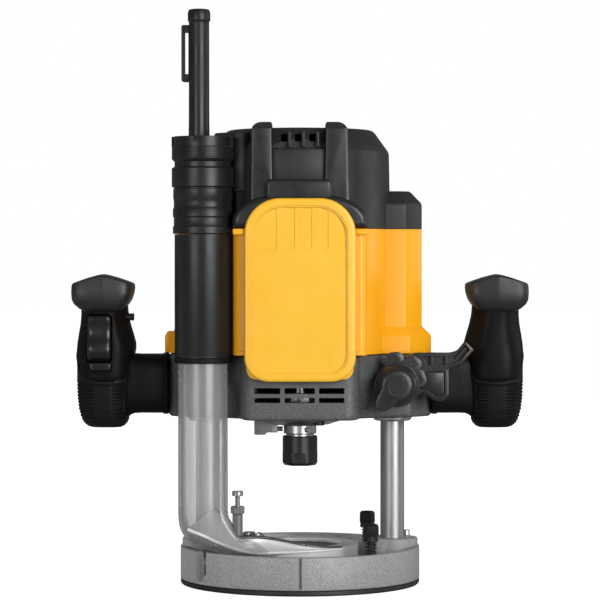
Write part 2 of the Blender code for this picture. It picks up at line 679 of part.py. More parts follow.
def column_bushes():
    """Bushes with a wiper lip that stands below the bracket."""
    profile = [(11.9, 136.0), (11.9, CAST_Z0 - GAP), (13.8, CAST_Z0 - GAP), (12.6, 114.6),
               (COLUMN_R + 0.3, 114.6), (COLUMN_R + 0.3, 136.0)]
    for name, side in (("left_bush", -1), ("right_bush", 1)):
        bush = turned(name, profile, (side * COLUMN_X, 0, 0), segments=20, closed=True)
        finish(bush, STEEL)


def dust_sleeve():
    """The black outer tube, which slides over the clear riser, its seal and its hose end."""
    sleeve = ring("dust_sleeve", SLEEVE_R, SLEEVE_BORE_R, 162.0, 246.3, DUCT, 24)
    lean = math.atan2(-DUCT[1], -DUCT[0])
    for z in (172.0, 226.0):
        lug = box("sleeve_lug", (18.8, -6, z), (20.3, 6, z + 14))
        lug.matrix_world = (Matrix.Translation(Vector((*DUCT, 0)) * MM)
                            @ Matrix.Rotation(lean, 4, "Z") @ Matrix.Translation(lug.location))
        join(sleeve, lug)
    finish(sleeve, BLACK)
    seal_profile = [(19.5, 161.7), (19.8, 157.6), (17.7, 157.6), (17.7, 161.7)]
    finish(turned("sleeve_seal", seal_profile, (*DUCT, 0), segments=24, closed=True), RUBBER)


def hose_adaptor():
    """Stepped hose end with a bayonet collar of four teeth."""
    profile = [(20.0, 314.0), (20.0, 308.6), (21.7, 308.6), (21.7, 299.2), (19.2, 294.8),
               (19.2, 292.0), (21.2, 291.5), (21.4, 278.2), (20.5, 277.6), (20.0, 265.0),
               (20.6, 264.0), (20.2, 258.6), (20.6, 246.6), (SLEEVE_BORE_R, 246.6),
               (SLEEVE_BORE_R, 314.0)]
    adaptor = turned("hose_adaptor", profile, (*DUCT, 0), segments=24, closed=True)
    for angle in (0, 90, 180, 270):
        tooth = box("tooth", (19.3, -4.2, 307.5), (21.6, 4.2, 313.8))
        tooth.matrix_world = (Matrix.Translation(Vector((*DUCT, 0)) * MM)
                              @ Matrix.Rotation(math.radians(angle), 4, "Z")
                              @ Matrix.Translation(tooth.location))
        join(adaptor, tooth)
    return finish(adaptor, BLACK)


def cord_and_guard():
    profile = [(7.8, 405.0), (7.8, 397.6), (6.7, 397.0), (7.6, 284.0), (7.8, 267.0), (3.9, 267.0),
               (3.9, 406.0), (7.0, 406.0)]
    guard = turned("cord_guard", profile, (*CORD, 0), segments=14, closed=True)
    clip = plate("cord_clip", rounded(rectangle(-84.0, 354.4, -75.5, 394.8), 1.5, 2),
                 -2.2, 2.2, "Y")
    cut(clip, plate("clip_window", rounded(rectangle(-81.2, 359.6, -79.4, 389.0), 0.7, 2),
                    -5, 5, "Y"))
    join(guard, clip)
    cut(guard, cylinder("guard_side_hole", 4.0, 20.0, (-61.0, 0, 271.0), "X", 10))
    finish(guard, RUBBER)
    bend = 5.0
    path = [(-42.0, 0, 271.0), (CORD[0] + bend, 0, 271.0)]
    for i in range(1, 5):
        angle = math.radians(90 * i / 5)
        path.append((CORD[0] + bend - bend * math.sin(angle), 0,
                     271.0 + bend - bend * math.cos(angle)))
    path += [(CORD[0], 0, 271.0 + bend), (CORD[0], 0, 405.0)]
    finish(tube("power_cord", path, 3.2), RUBBER)


# ---------------------------------------------------------------- handles

def handle_sections(z0, z1, inset, side, count=18):
    """Rings of the hand grip between two heights: narrow neck, palm swell and mushroom head."""
    # height, half width in X, half depth in Y, centre's shift outwards and in Y
    stations = ((109.0, 11.0, 11.0, 0.0, 0.0), (112.0, 16.4, 17.0, 0.0, 0.0),
                (119.0, 19.8, 20.8, 0.0, 0.0), (134.0, 21.2, 22.7, 0.0, 0.0),
                (150.0, 21.8, 23.5, 0.0, 0.0), (164.0, 20.9, 22.5, 0.4, 0.0),
                (183.0, 17.8, 20.0, 0.8, -1.0), (190.0, 17.8, 20.0, 0.8, -1.0),
                (200.0, 22.4, 25.0, 2.1, -2.0), (211.0, 22.4, 25.0, 2.1, -2.0),
                (218.0, 12.0, 13.0, 3.5, 0.0))
    heights = sorted({z0, z1} | {s[0] for s in stations if z0 < s[0] < z1})
    rings = []
    for z in heights:
        after = next(i for i, s in enumerate(stations) if s[0] >= z)
        high = stations[after]
        low = stations[max(after - 1, 0)]
        share = 1.0 if high[0] == low[0] else (z - low[0]) / (high[0] - low[0])
        wide, deep, out, y = (low[k] + (high[k] - low[k]) * share for k in range(1, 5))
        points = []
        for i in range(count):
            angle = 2 * math.pi * i / count
            c, s = math.cos(angle), math.sin(angle)
            across = math.copysign(abs(c) ** 0.85, c) * (wide - inset)
            points.append((side * (HANDLE_X + out) + across,
                           y + math.copysign(abs(s) ** 0.85, s) * (deep - inset), z))
        rings.append(points)
    return rings


GRIP_TOP = 148.0


def handle(name, side):
    """Core of a handle: the head and neck, the sunk core under the grip, and the arm."""
    core = loft(name, handle_sections(GRIP_TOP + GAP, 218.0, 0.0, side))
    join(core, loft("grip_core", handle_sections(112.0, GRIP_TOP + 6, 2.2, side)))
    start, end = 92.9, HANDLE_X - 8
    arm = cylinder("arm", ARM_R, end - start, (side * (start + end) / 2, 0, ARM_Z), "X", 20)
    return finish(join(core, arm), BLACK)


def grip(name, side):
    """Soft overmould around the lower half of a handle."""
    cup = loft(name, handle_sections(109.0, GRIP_TOP, 0.0, side))
    cut(cup, loft("grip_hollow", handle_sections(112.0 - GAP, GRIP_TOP + 6, 1.9, side)))
    arm_end = HANDLE_X - 60
    length = 60.0
    centre = side * (arm_end + length / 2)
    cut(cup, cylinder("arm_hole", ARM_R + GAP, length, (centre, 0, ARM_Z), "X", 20))
    return finish(cup, RUBBER)


def handles():
    left = handle("left_handle", -1)
    cut(left, box("trigger_pocket", (TRIGGER_X - TRIGGER_HALF - 0.4, -40, TRIGGER_Z0 - 0.5),
                  (TRIGGER_X + TRIGGER_HALF + 0.4, -11, TRIGGER_Z1 + 1.0)))
    cut(left, cylinder("button_hole", 3.5, 34.0, (-117.0, -7.0, 188.3), "X", 12))
    handle("right_handle", 1)
    grip("left_grip", -1)
    grip("right_grip", 1)

    # The trigger is hinged at its lower end.
    paddle = rounded([(-13.5, TRIGGER_Z0), (-22.5, TRIGGER_Z0), (-26.0, TRIGGER_Z0 + 6),
                      (-23.6, TRIGGER_Z1 - 14), (-24.6, TRIGGER_Z1), (-16.0, TRIGGER_Z1)],
                     [1, 2, 4, 8, 2, 1], 3)
    trigger = plate("trigger", [(-y, z) for y, z in paddle],
                    -TRIGGER_HALF, TRIGGER_HALF, "Y")
    trigger.matrix_world = (Matrix.Translation((TRIGGER_X * MM, 0, 0))
                            @ Matrix.Rotation(-math.pi / 2, 4, "Z") @ trigger.matrix_world)
    finish(trigger, BLACK)
    hang(axis_empty("trigger_axis", (TRIGGER_X, -15.0, TRIGGER_Z0 + 2)), trigger)
    button = cylinder("lock_on_button", 3.1, 12.5, (-123.4, -7.0, 188.3), "X", 14)
    finish(button, BLACK)


# ---------------------------------------------------------------- controls

def lever_outline():
    """The plunge lock lever seen from the front: an arm that curls up, over a web."""
    corners = [(60, 150), (72, 163.4), (105, 163.4), (114.6, 171.6), (121.0, 165.6),
               (109.5, 153.2), (103.6, 151.6), (103.6, 131.5), (96.5, 131.5), (88, 136.0),
               (74, 130.5), (60, 133)]
    return rounded(corners, [6, 3, 7, 1.5, 1.5, 6, 2, 3.5, 4, 6, 3, 6], 3)


def plunge_lock():
    axis = axis_empty("lever_axis", (HUB_X, 0, HUB_Z))
    lever = plate("plunge_lock_lever", lever_outline(), -41.6, -34.6, "Y")
    join(lever, cylinder("lever_hub", 13.5, 7.9, (HUB_X, -38.3, HUB_Z), "Y", 20))
    trough = rounded([(80, 161.2), (104.5, 161.2), (114.4, 168.4), (117.6, 165.4), (108, 155.4),
                      (84, 155.4)], [1, 6, 1, 1, 5, 1], 3)
    cut(lever, plate("lever_trough", trough, -46, -38.4, "Y"))
    for x in (88.5, 98.0, 107.5):
        join(lever, box("trough_rib", (x - 0.6, -41.0, 154.5), (x + 0.6, -37.5, 162.5)))
    window = rounded([(86, 150.0), (101.2, 150.0), (101.2, 134.5), (96.5, 134.5), (88, 139.0)],
                     [2, 2, 3, 3, 2], 3)
    cut(lever, plate("lever_window", window, -46, -40.2, "Y"))
    bolt_profile = [(0.0, -9.3), (3.6, -9.3), (3.6, -49.0), (0.0, -49.0)]
    bolt = turned("lock_bolt", [(r, -y) for r, y in bolt_profile][::-1], (HUB_X, 0, HUB_Z), "Y",
                  12)
    bolt.rotation_euler = (math.pi / 2, 0, 0)
    cut(lever, cylinder("bolt_bore", 3.9, 30.0, (HUB_X, -38, HUB_Z), "Y", 12))
    hang(axis, finish(lever, BLACK), finish(bolt, STEEL))

    icons = cylinder("lock_icon_plate", 15.5, 2.6, (HUB_X, -43.9, HUB_Z), "Y", 20)
    for degrees, reach in ((94, 22.5), (53, 23.5), (17, 20.5)):
        lobe = rounded(rectangle(-6.5, 0.0, 6.5, reach), [0, 0, 4.5, 4.5], 3)
        turn = Matrix.Rotation(math.radians(degrees - 90), 2)
        outline = [tuple(turn @ Vector(p) + Vector((HUB_X, HUB_Z))) for p in lobe]
        join(icons, plate("lobe", outline, -45.1, -42.8, "Y"))
    cut(icons, cylinder("icon_bore", 3.9, 20.0, (HUB_X, -44, HUB_Z), "Y", 12))
    finish(icons, BLACK)

    knob_profile = [(0.0, 56.0), (9.9, 56.0), (12.0, 55.0), (14.4, 50.5), (14.4, 45.6),
                    (0.0, 45.6)]
    knob = turned("selector_knob", knob_profile, (HUB_X, 0, HUB_Z), "Y", 22)
    knob.rotation_euler = (math.pi / 2, 0, 0)
    tab = rounded([(-6.2, 0.0), (6.2, 0.0), (5.2, -17.5), (2.0, -21.2), (-3.0, -21.2),
                   (-5.4, -17.8)], [0, 0, 2, 2, 2, 2], 2)
    turn = Matrix.Rotation(math.radians(234 + 90), 2)
    outline = [tuple(turn @ Vector(p) + Vector((HUB_X, HUB_Z))) for p in tab]
    join(knob, plate("pointer", outline, -55.4, -49.0, "Y"))
    cut(knob, cylinder("knob_bore", 3.9, 12.0, (HUB_X, -43.6, HUB_Z), "Y", 12))
    hang(axis_empty("selector_axis", (HUB_X, -50, HUB_Z)), finish(knob, BLACK))


def depth_stop():
    """Depth rod at the back left, its pinion knob and its clamp."""
    rod = upright("depth_rod", 3.5, ROD_Z0, ROD_Z1, ROD, 12)
    finish(rod, STEEL)
    hang(axis_empty("depth_rod_axis", (*ROD, 0)), rod)
    profile = [(0.0, 82.0), (8.5, 82.0), (10.0, 80.5), (10.0, 68.0), (8.5, 66.5), (3.5, 66.5),
               (3.5, 47.0), (0.0, 47.0)]
    knob = turned("depth_knob", profile, (-37.4, 0, LUG_Z), "Y", 16)
    hang(axis_empty("depth_knob_axis", (-37.4, 66, LUG_Z)), finish(knob, BLACK))
    screw = [(0.0, 72.0), (4.5, 72.0), (5.5, 71.0), (5.5, 58.0), (2.4, 57.0), (2.4, 50.0),
             (0.0, 50.0)]
    clamp = turned("depth_clamp_knob", screw, (0, ROD[1], LUG_Z), "X", 12)
    clamp.rotation_euler = (0, -math.pi / 2, 0)
    wing = box("clamp_wing", (-71.5, ROD[1] - 1.6, LUG_Z - 11), (-60.0, ROD[1] + 1.6, LUG_Z + 11),
               1.0, 1)
    hang(axis_empty("depth_clamp_axis", (-60, ROD[1], LUG_Z)), finish(join(clamp, wing), BLACK))


def speed_dial():
    profile = [(0.0, 2.8), (11.0, 2.8), (11.0, -2.8), (0.0, -2.8)]
    dial = turned("speed_dial", profile, DIAL, "X", 20)
    for i in range(10):
        angle = math.radians(9 + 36 * i)
        notch = cylinder("dial_notch", 0.8, 10, (DIAL[0], DIAL[1] + 11.3 * math.cos(angle),
                                                 DIAL[2] + 11.3 * math.sin(angle)), "X", 6)
        cut(dial, notch)
    hang(axis_empty("dial_axis", DIAL), finish(dial, BLACK))


# ---------------------------------------------------------------- spindle

def spindle():
    axis = axis_empty("spindle_axis", (0, 0, 0))
    shaft = turned("spindle_shaft", [
        (0.0, 272.0), (5.7, 272.0), (5.7, 240.0), (7.0, 239.0), (7.0, 134.0), (9.7, 133.0),
        (9.7, COLLAR_Z1), (COLLAR_R, COLLAR_Z1), (COLLAR_R, COLLAR_Z0), (9.8, COLLAR_Z0),
        (9.8, 95.0), (8.7, 95.0), (8.7, 103.0), (0.0, 103.0)], segments=20)
    cut(shaft, cylinder("lock_hole", 2.2, 30.0, (0, 0, LOCK_PIN_Z), "X", 10))
    front_hole = cylinder("front_hole", 2.2, 10.0, (0, 0, 0), "Y", 10)
    front_hole.matrix_world = (Matrix.Rotation(math.radians(25), 4, "Z")
                               @ Matrix.Translation((0, -0.010, LOCK_PIN_Z * MM))
                               @ Matrix.Rotation(math.pi / 2, 4, "X"))
    cut(shaft, front_hole)
    finish(shaft, STEEL)

    core = turned("armature", [
        (13.6, 257.5), (13.6, 241.0), (10.0, 241.0), (10.0, 233.0), (23.8, 233.0), (23.8, 182.0),
        (7.4, 182.0), (7.4, 257.5)], segments=20, closed=True)
    finish(core, LAMINATION)

    wheel = turned("fan", [(11.0, 160.0), (11.0, 149.4), (47.0, 149.2), (47.0, 147.0),
                           (7.4, 147.0), (7.4, 160.0)], segments=28, closed=True)
    for i in range(7):
        blade = box("fan_blade", (9.8, -1.3, 148.2), (45.5, 1.3, 159.2))
        blade.matrix_world = (Matrix.Rotation(2 * math.pi * i / 7, 4, "Z")
                              @ Matrix.Translation(blade.location))
        join(wheel, blade)
    finish(wheel, BLACK)

    collet = turned("collet", [(7.0, 85.8), (8.3, 88.5), (8.3, 101.5), (6.5, 101.5),
                               (6.5, 85.8)][::-1], segments=18, closed=True)
    for dx, dy in ((12, 0.5), (0.5, 12)):
        cut(collet, box("collet_slit", (-dx, -dy, 80), (dx, dy, 97)))
    finish(collet, STEEL)
    hang(axis, shaft, core, wheel, collet)

    nut = upright("collet_nut", NUT_R, 91.6, NUT_Z1, segments=20)
    join(nut, upright("nut_hex", NUT_R + 0.1, NUT_Z0 + 1.6, 92.5, segments=6),
         upright("nut_chamfer", NUT_R - 1.5, NUT_Z0, NUT_Z0 + 1.7, segments=6,
                 end_radius=NUT_R + 0.1))
    cut(nut, upright("nut_thread", 10.35, 94.0, 110.0, segments=16),
        upright("nut_taper", 8.85, 85.4, 95.0, segments=16),
        upright("nut_mouth", 7.2, 70.0, 86.0, segments=16))
    hang(axis_empty("nut_axis", (0, 0, 0)), finish(nut, DARK_STEEL))


def spindle_lock():
    """A button that pushes a pin into the spindle's collar."""
    block = box("spindle_lock_button", (-32.4, -10.0, 104.5), (-15.8, 4.0, 116.8), 1.2, 1)
    join(block, cylinder("lock_pin", 1.8, 6.0, (-15.2, 0, LOCK_PIN_Z), "X", 10))
    return finish(block, STEEL)


# ---------------------------------------------------------------- assembly

def build():
    base_casting()
    sole_plate()
    sole_screws()
    columns()
    plunge_springs()
    fence_clamps()
    dust_hood()
    turret()
    before = set(ROUTER.objects)
    motor_bracket()
    motor_housing()
    top_cap()
    front_cover()
    motor_parts()
    bearing_retainer()
    column_bushes()
    dust_sleeve()
    hose_adaptor()
    cord_and_guard()
    handles()
    plunge_lock()
    depth_stop()
    speed_dial()
    spindle()
    spindle_lock()
    # Everything on the head hangs from one empty, which slides along Z by PLUNGE.
    bpy.context.view_layer.update()
    head = axis_empty("plunge_axis", (0, 0, 0))
    head["travel_mm"] = PLUNGE
    hang(head, *(o for o in set(ROUTER.objects) - before - {head} if o.parent is None))


build()
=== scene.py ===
"""Looks of the plunge router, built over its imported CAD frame.

Lengths in this file are millimetres; MM turns them into metres. The frame's origin is under
the sole's centre, +Z is up and the front cover faces -Y.
"""

import math

import bmesh
import bpy
from mathutils import Matrix, Vector


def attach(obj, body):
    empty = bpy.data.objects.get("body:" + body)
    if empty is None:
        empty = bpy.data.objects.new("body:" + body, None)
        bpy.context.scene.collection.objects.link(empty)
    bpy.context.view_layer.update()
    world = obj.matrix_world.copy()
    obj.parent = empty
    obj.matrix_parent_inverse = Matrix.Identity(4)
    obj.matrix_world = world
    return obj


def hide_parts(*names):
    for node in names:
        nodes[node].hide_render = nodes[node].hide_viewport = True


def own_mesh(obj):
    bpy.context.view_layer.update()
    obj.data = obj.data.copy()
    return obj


MM = 0.001
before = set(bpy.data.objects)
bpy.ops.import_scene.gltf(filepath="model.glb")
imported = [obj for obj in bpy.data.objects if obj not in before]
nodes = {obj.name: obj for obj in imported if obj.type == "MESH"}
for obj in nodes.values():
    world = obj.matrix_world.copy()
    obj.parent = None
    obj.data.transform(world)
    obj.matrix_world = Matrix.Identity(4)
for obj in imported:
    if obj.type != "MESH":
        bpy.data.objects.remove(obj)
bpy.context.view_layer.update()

COLUMN_X = 65.5
FENCE_ROD_Y = 47.0
CLAMP_SCREW_X = 49
ARM_Z = 141.2
GRIP_TOP = 196.0
LOCK_PIN_Z = 108.7
SCALE_ROD = (-45.6, 55)
PINION = (-37.4, 152)
DIAL = (25, 54.5, 285)
HUB = (67.0, 142.0)
HUB_PLACE = (HUB[0], 0, HUB[1])
DUCT = (-67.0, -52.0, 0)
CORD = (-71.5, 0.0, 0)
TURRET = (-38.0, 58.0, 0)
CAMERA_PLACE = (0, -1.883, 0.232)
CAMERA_DIP = 0.97
FOCAL_LENGTH = 159.3


# ---------------------------------------------------------------- materials

def node_of(tree, kind, **settings):
    made = tree.nodes.new(kind)
    for key, value in settings.items():
        setattr(made, key, value)
    return made


def noise(tree, coords, scale, detail=2.0, stretch=(1, 1, 1), roughness=0.5):
    mapping = node_of(tree, "ShaderNodeMapping")
    mapping.inputs["Scale"].default_value = stretch
    made = node_of(tree, "ShaderNodeTexNoise")
    made.inputs["Scale"].default_value = scale
    made.inputs["Detail"].default_value = detail
    made.inputs["Roughness"].default_value = roughness
    tree.links.new(coords, mapping.inputs["Vector"])
    tree.links.new(mapping.outputs["Vector"], made.inputs["Vector"])
    return made.outputs["Fac"]


def remap(tree, value, low, high, out_low, out_high):
    made = node_of(tree, "ShaderNodeMapRange")
    for key, number in zip(("From Min", "From Max", "To Min", "To Max"),
                           (low, high, out_low, out_high)):
        made.inputs[key].default_value = number
    tree.links.new(value, made.inputs["Value"])
    return made.outputs["Result"]


def mix_colour(tree, factor, first, second, mode="MIX"):
    made = node_of(tree, "ShaderNodeMix", data_type="RGBA", blend_type=mode)
    for socket, value in ((made.inputs[0], factor), (made.inputs[6], first),
                          (made.inputs[7], second)):
        if isinstance(value, bpy.types.NodeSocket):
            tree.links.new(value, socket)
        elif isinstance(value, (int, float)):
            socket.default_value = value
        else:
            socket.default_value = (*value, 1.0)
    return made.outputs[2]


def surface(name, colour, roughness, metallic=0.0, grain=0.35, bump=0.06, vary=0.08,
            edge=0.35, edge_colour=None, speckle=0.0, speckle_size=0.8, stretch=(1, 1, 1),
            soften=0.5, specular=0.5):
    """A moulded, cast or machined surface.

    grain is the size of its texture in mm and bump its strength. vary is how much the colour
    drifts, edge how much its edges are worn, speckle the contrast of a cast skin, and soften
    the radius in mm that sharp edges are shaded with.
    """
    made = bpy.data.materials.new(name)
    made.use_nodes = True
    tree = made.node_tree
    link = tree.links.new
    shader = tree.nodes["Principled BSDF"]
    coords = node_of(tree, "ShaderNodeTexCoord").outputs["Object"]
    fine = noise(tree, coords, 1000.0 / grain, 3.0, stretch, 0.6)
    broad = noise(tree, coords, 22.0, 4.0)
    smudge = noise(tree, coords, 90.0, 5.0, (1, 1, 0.6))
    dark = tuple(c * (1 - vary) for c in colour)
    light = tuple(min(c * (1 + vary), 1.0) for c in colour)
    base = mix_colour(tree, remap(tree, broad, 0.3, 0.7, 0, 1), dark, light)
    if speckle:
        cells = noise(tree, coords, 1000.0 / speckle_size, 2.5, (1, 1, 1), 0.7)
        tone = remap(tree, cells, 0.36, 0.64, 1 - speckle, 1 + speckle)
        grey = node_of(tree, "ShaderNodeCombineColor")
        for socket in grey.inputs[:3]:
            link(tone, socket)
        base = mix_colour(tree, 1.0, base, grey.outputs[0], "MULTIPLY")
    rounded_normal = node_of(tree, "ShaderNodeBevel", samples=4)
    rounded_normal.inputs["Radius"].default_value = soften * MM
    geometry = node_of(tree, "ShaderNodeNewGeometry")
    aligned = node_of(tree, "ShaderNodeVectorMath", operation="DOT_PRODUCT")
    link(rounded_normal.outputs["Normal"], aligned.inputs[0])
    link(geometry.outputs["Normal"], aligned.inputs[1])
    worn = remap(tree, aligned.outputs["Value"], 0.99, 0.86, 0.0, edge)
    worn_noise = node_of(tree, "ShaderNodeMath", operation="MULTIPLY")
    link(worn, worn_noise.inputs[0])
    link(remap(tree, smudge, 0.35, 0.6, 0.25, 1.0), worn_noise.inputs[1])
    rubbed = edge_colour or tuple(min(c * 1.5 + 0.02, 1.0) for c in colour)
    base = mix_colour(tree, worn_noise.outputs[0], base, rubbed)
    link(base, shader.inputs["Base Color"])
    link(remap(tree, smudge, 0.3, 0.7, max(roughness - 0.07, 0.03), min(roughness + 0.07, 1.0)),
         shader.inputs["Roughness"])
    shader.inputs["Metallic"].default_value = metallic
    shader.inputs["Specular IOR Level"].default_value = specular
    bumps = node_of(tree, "ShaderNodeBump")
    bumps.inputs["Strength"].default_value = bump
    bumps.inputs["Distance"].default_value = grain * 0.4 * MM
    link(fine, bumps.inputs["Height"])
    link(rounded_normal.outputs["Normal"], bumps.inputs["Normal"])
    link(bumps.outputs["Normal"], shader.inputs["Normal"])
    return made


def clear_plastic(name, tint, haze, milk=0.62):
    """Thin clear moulding: see-through, with a soft grey tint, reflections and faint scuffs."""
    made = bpy.data.materials.new(name)
    made.use_nodes = True
    tree = made.node_tree
    link = tree.links.new
    tree.nodes.remove(tree.nodes["Principled BSDF"])
    out = tree.nodes["Material Output"]
    coords = node_of(tree, "ShaderNodeTexCoord").outputs["Object"]
    scuffs = noise(tree, coords, 60.0, 5.0, (1, 1, 0.6), 0.6)
    through = node_of(tree, "ShaderNodeBsdfTransparent")
    link(mix_colour(tree, remap(tree, scuffs, 0.3, 0.7, 0, 1), tuple(c * 0.96 for c in tint), tint),
         through.inputs["Color"])
    milky = node_of(tree, "ShaderNodeBsdfPrincipled")
    milky.inputs["Base Color"].default_value = (milk, milk * 1.01, milk * 1.02, 1)
    milky.inputs["Roughness"].default_value = 0.3
    shine = node_of(tree, "ShaderNodeBsdfGlossy")
    shine.inputs["Color"].default_value = (1, 1, 1, 1)
    link(remap(tree, scuffs, 0.3, 0.7, 0.2, 0.3), shine.inputs["Roughness"])
    ripple = node_of(tree, "ShaderNodeBump")
    ripple.inputs["Strength"].default_value = 0.05
    ripple.inputs["Distance"].default_value = 0.2 * MM
    link(noise(tree, coords, 120.0, 2.0), ripple.inputs["Height"])
    link(ripple.outputs["Normal"], shine.inputs["Normal"])
    body = node_of(tree, "ShaderNodeMixShader")
    body.inputs[0].default_value = haze
    link(through.outputs[0], body.inputs[1])
    link(milky.outputs[0], body.inputs[2])
    edge = node_of(tree, "ShaderNodeLayerWeight")
    edge.inputs["Blend"].default_value = 0.22
    both = node_of(tree, "ShaderNodeMixShader")
    link(remap(tree, edge.outputs["Fresnel"], 0, 1, 0.02, 0.85), both.inputs[0])
    link(body.outputs[0], both.inputs[1])
    link(shine.outputs[0], both.inputs[2])
    link(both.outputs[0], out.inputs["Surface"])
    return made


YELLOW = surface("yellow_abs", (0.97, 0.43, 0.008), 0.36, grain=0.35, bump=0.05, vary=0.03,
                 edge=0.2, edge_colour=(0.98, 0.5, 0.02), soften=0.9, specular=0.4)
COVER = surface("yellow_cover", (0.94, 0.52, 0.035), 0.33, grain=0.35, bump=0.04, vary=0.03,
                edge=0.2, edge_colour=(0.96, 0.56, 0.06), soften=0.6)
NYLON = surface("black_nylon", (0.018, 0.018, 0.019), 0.44, grain=0.45, bump=0.16, vary=0.12,
                edge=0.35, edge_colour=(0.06, 0.06, 0.062), soften=0.8, specular=0.42)
SATIN_BLACK = surface("satin_black", (0.011, 0.011, 0.012), 0.32, grain=0.3, bump=0.04,
                      vary=0.15, edge=0.3, edge_colour=(0.045, 0.045, 0.046), soften=0.5,
                      specular=0.4)
GLOSS_BLACK = surface("gloss_black", (0.008, 0.008, 0.009), 0.3, grain=0.3, bump=0.02,
                      vary=0.15, edge=0.3, edge_colour=(0.04, 0.04, 0.041), soften=0.5)
SLEEVE_BLACK = surface("sleeve_black", (0.011, 0.011, 0.0115), 0.36, grain=0.3, bump=0.04,
                       vary=0.1, edge=0.3, edge_colour=(0.04, 0.04, 0.041), soften=0.35,
                       specular=0.35)
GRIP_BLACK = surface("grip_rubber", (0.0065, 0.0065, 0.0068), 0.5, grain=0.5, bump=0.2,
                     vary=0.2, edge=0.35, edge_colour=(0.03, 0.03, 0.03), soften=0.3,
                     specular=0.13)
LEVER_BLACK = surface("lever_nylon", (0.015, 0.015, 0.016), 0.32, grain=0.4, bump=0.06, vary=0.1,
                      edge=0.6, edge_colour=(0.1, 0.1, 0.102), soften=0.45)
BODY_BLACK = surface("handle_nylon", (0.0055, 0.0055, 0.006), 0.42, grain=0.35, bump=0.05,
                     vary=0.1, edge=0.3, edge_colour=(0.02, 0.02, 0.021), soften=0.8,
                     specular=0.08)
TRIM_BLACK = surface("cap_trim", (0.014, 0.014, 0.0145), 0.34, grain=0.4, bump=0.05, vary=0.1,
                     edge=0.4, edge_colour=(0.06, 0.06, 0.062), soften=0.7)
BRACKET = surface("bracket_cast", (0.095, 0.095, 0.098), 0.5, 0.1, grain=0.7, bump=0.45,
                  vary=0.12, edge=0.3, edge_colour=(0.28, 0.28, 0.285), speckle=0.5,
                  speckle_size=0.9, soften=1.0)
BASE_CAST = surface("base_cast", (0.29, 0.29, 0.293), 0.5, 0.1, grain=0.6, bump=0.35, vary=0.05,
                    edge=0.35, edge_colour=(0.45, 0.45, 0.455), speckle=0.42, speckle_size=0.62,
                    soften=0.8)
COLUMN_STEEL = surface("column_steel", (0.38, 0.38, 0.385), 0.38, 0.9, grain=0.8, bump=0.004,
                       vary=0.02, edge=0.1, edge_colour=(0.7, 0.7, 0.7), soften=0.2)
TURNED_STEEL = surface("turned_steel", (0.55, 0.55, 0.56), 0.3, 1.0, grain=0.6, bump=0.05,
                       vary=0.1, edge=0.3, edge_colour=(0.8, 0.8, 0.8), soften=0.3)
TURRET_CAST = surface("turret_cast", (0.2, 0.2, 0.203), 0.45, 0.4, grain=0.6, bump=0.3, vary=0.1,
                      edge=0.3, edge_colour=(0.4, 0.4, 0.4), speckle=0.25, speckle_size=0.7,
                      soften=0.5)
LOCK_CAST = surface("lock_cast", (0.3, 0.3, 0.302), 0.42, 0.6, grain=0.6, bump=0.3, vary=0.1,
                    edge=0.4, edge_colour=(0.55, 0.55, 0.55), speckle=0.3, speckle_size=0.6,
                    soften=0.5)
CHROME = surface("zinc_block", (0.58, 0.58, 0.58), 0.33, 1.0, grain=0.9, bump=0.1, vary=0.12,
                 edge=0.3, edge_colour=(0.8, 0.8, 0.8), soften=0.5)
BLACK_OXIDE = surface("black_oxide", (0.028, 0.028, 0.03), 0.33, 0.55, grain=0.5, bump=0.08,
                      vary=0.2, edge=0.6, edge_colour=(0.14, 0.14, 0.145), soften=0.4)
SOLE = surface("phenolic_sole", (0.012, 0.012, 0.013), 0.5, grain=0.5, bump=0.1, vary=0.2,
               edge=0.4, edge_colour=(0.045, 0.045, 0.045), soften=0.4)
COPPER = surface("copper", (0.6, 0.26, 0.1), 0.35, 0.9, grain=0.6, bump=0.3, vary=0.1,
                 stretch=(1, 1, 5), soften=0.2)
IRON = surface("laminated_iron", (0.2, 0.2, 0.21), 0.5, 0.8, grain=0.8, bump=0.4, vary=0.1,
               stretch=(0.2, 0.2, 8), soften=0.2)
CLEAR = clear_plastic("smoky_clear", (0.88, 0.885, 0.89), 0.2)
# Lighter and darker copies of the hood's clear plastic: the first paints the highlights on its
# edges, the second paints light on the scoop and the ring, the third paints the shade along the
# scoop's upper edge.
CLEAR_PAINTED_HIGHLIGHT = clear_plastic("clear_painted_highlight", (0.92, 0.925, 0.93), 0.65, 0.95)
CLEAR_PAINTED_LIGHT = clear_plastic("clear_painted_light", (0.9, 0.905, 0.91), 0.55, 0.85)
CLEAR_PAINTED_SHADE = clear_plastic("clear_painted_shade", (0.3, 0.305, 0.31), 0.3, 0.12)


# ---------------------------------------------------------------- mesh helpers

def angles(count):
    """Evenly spaced angles around a full turn."""
    return [2 * math.pi * i / count for i in range(count)]


def swell(value, power):
    """A signed power, which squares off the rounds of an oval."""
    return math.copysign(abs(value) ** power, value)


def limit(value):
    return min(max(value, 0.0), 1.0)


def polar(radius, degrees, centre=(0.0, 0.0)):
    angle = math.radians(degrees)
    return (centre[0] + radius * math.cos(angle), centre[1] + radius * math.sin(angle))


def as_object(name, bm):
    """A mesh object from a bmesh in millimetres."""
    bmesh.ops.scale(bm, vec=(MM, MM, MM), verts=bm.verts)
    bmesh.ops.recalc_face_normals(bm, faces=bm.faces)
    mesh = bpy.data.meshes.new(name)
    bm.to_mesh(mesh)
    bm.free()
    obj = bpy.data.objects.new(name, mesh)
    bpy.context.scene.collection.objects.link(obj)
    return obj


def shift(obj, matrix):
    """Moves an object's vertices, so that the object itself stays at the origin."""
    move = matrix.copy()
    move.translation = move.translation * MM
    obj.data.transform(move)
    if move.determinant() < 0:
        obj.data.flip_normals()
    return obj


AXES = {"Z": Matrix.Identity(4), "X": Matrix.Rotation(math.pi / 2, 4, "Y"),
        "-X": Matrix.Rotation(-math.pi / 2, 4, "Y"), "Y": Matrix.Rotation(-math.pi / 2, 4, "X"),
        "-Y": Matrix.Rotation(math.pi / 2, 4, "X")}


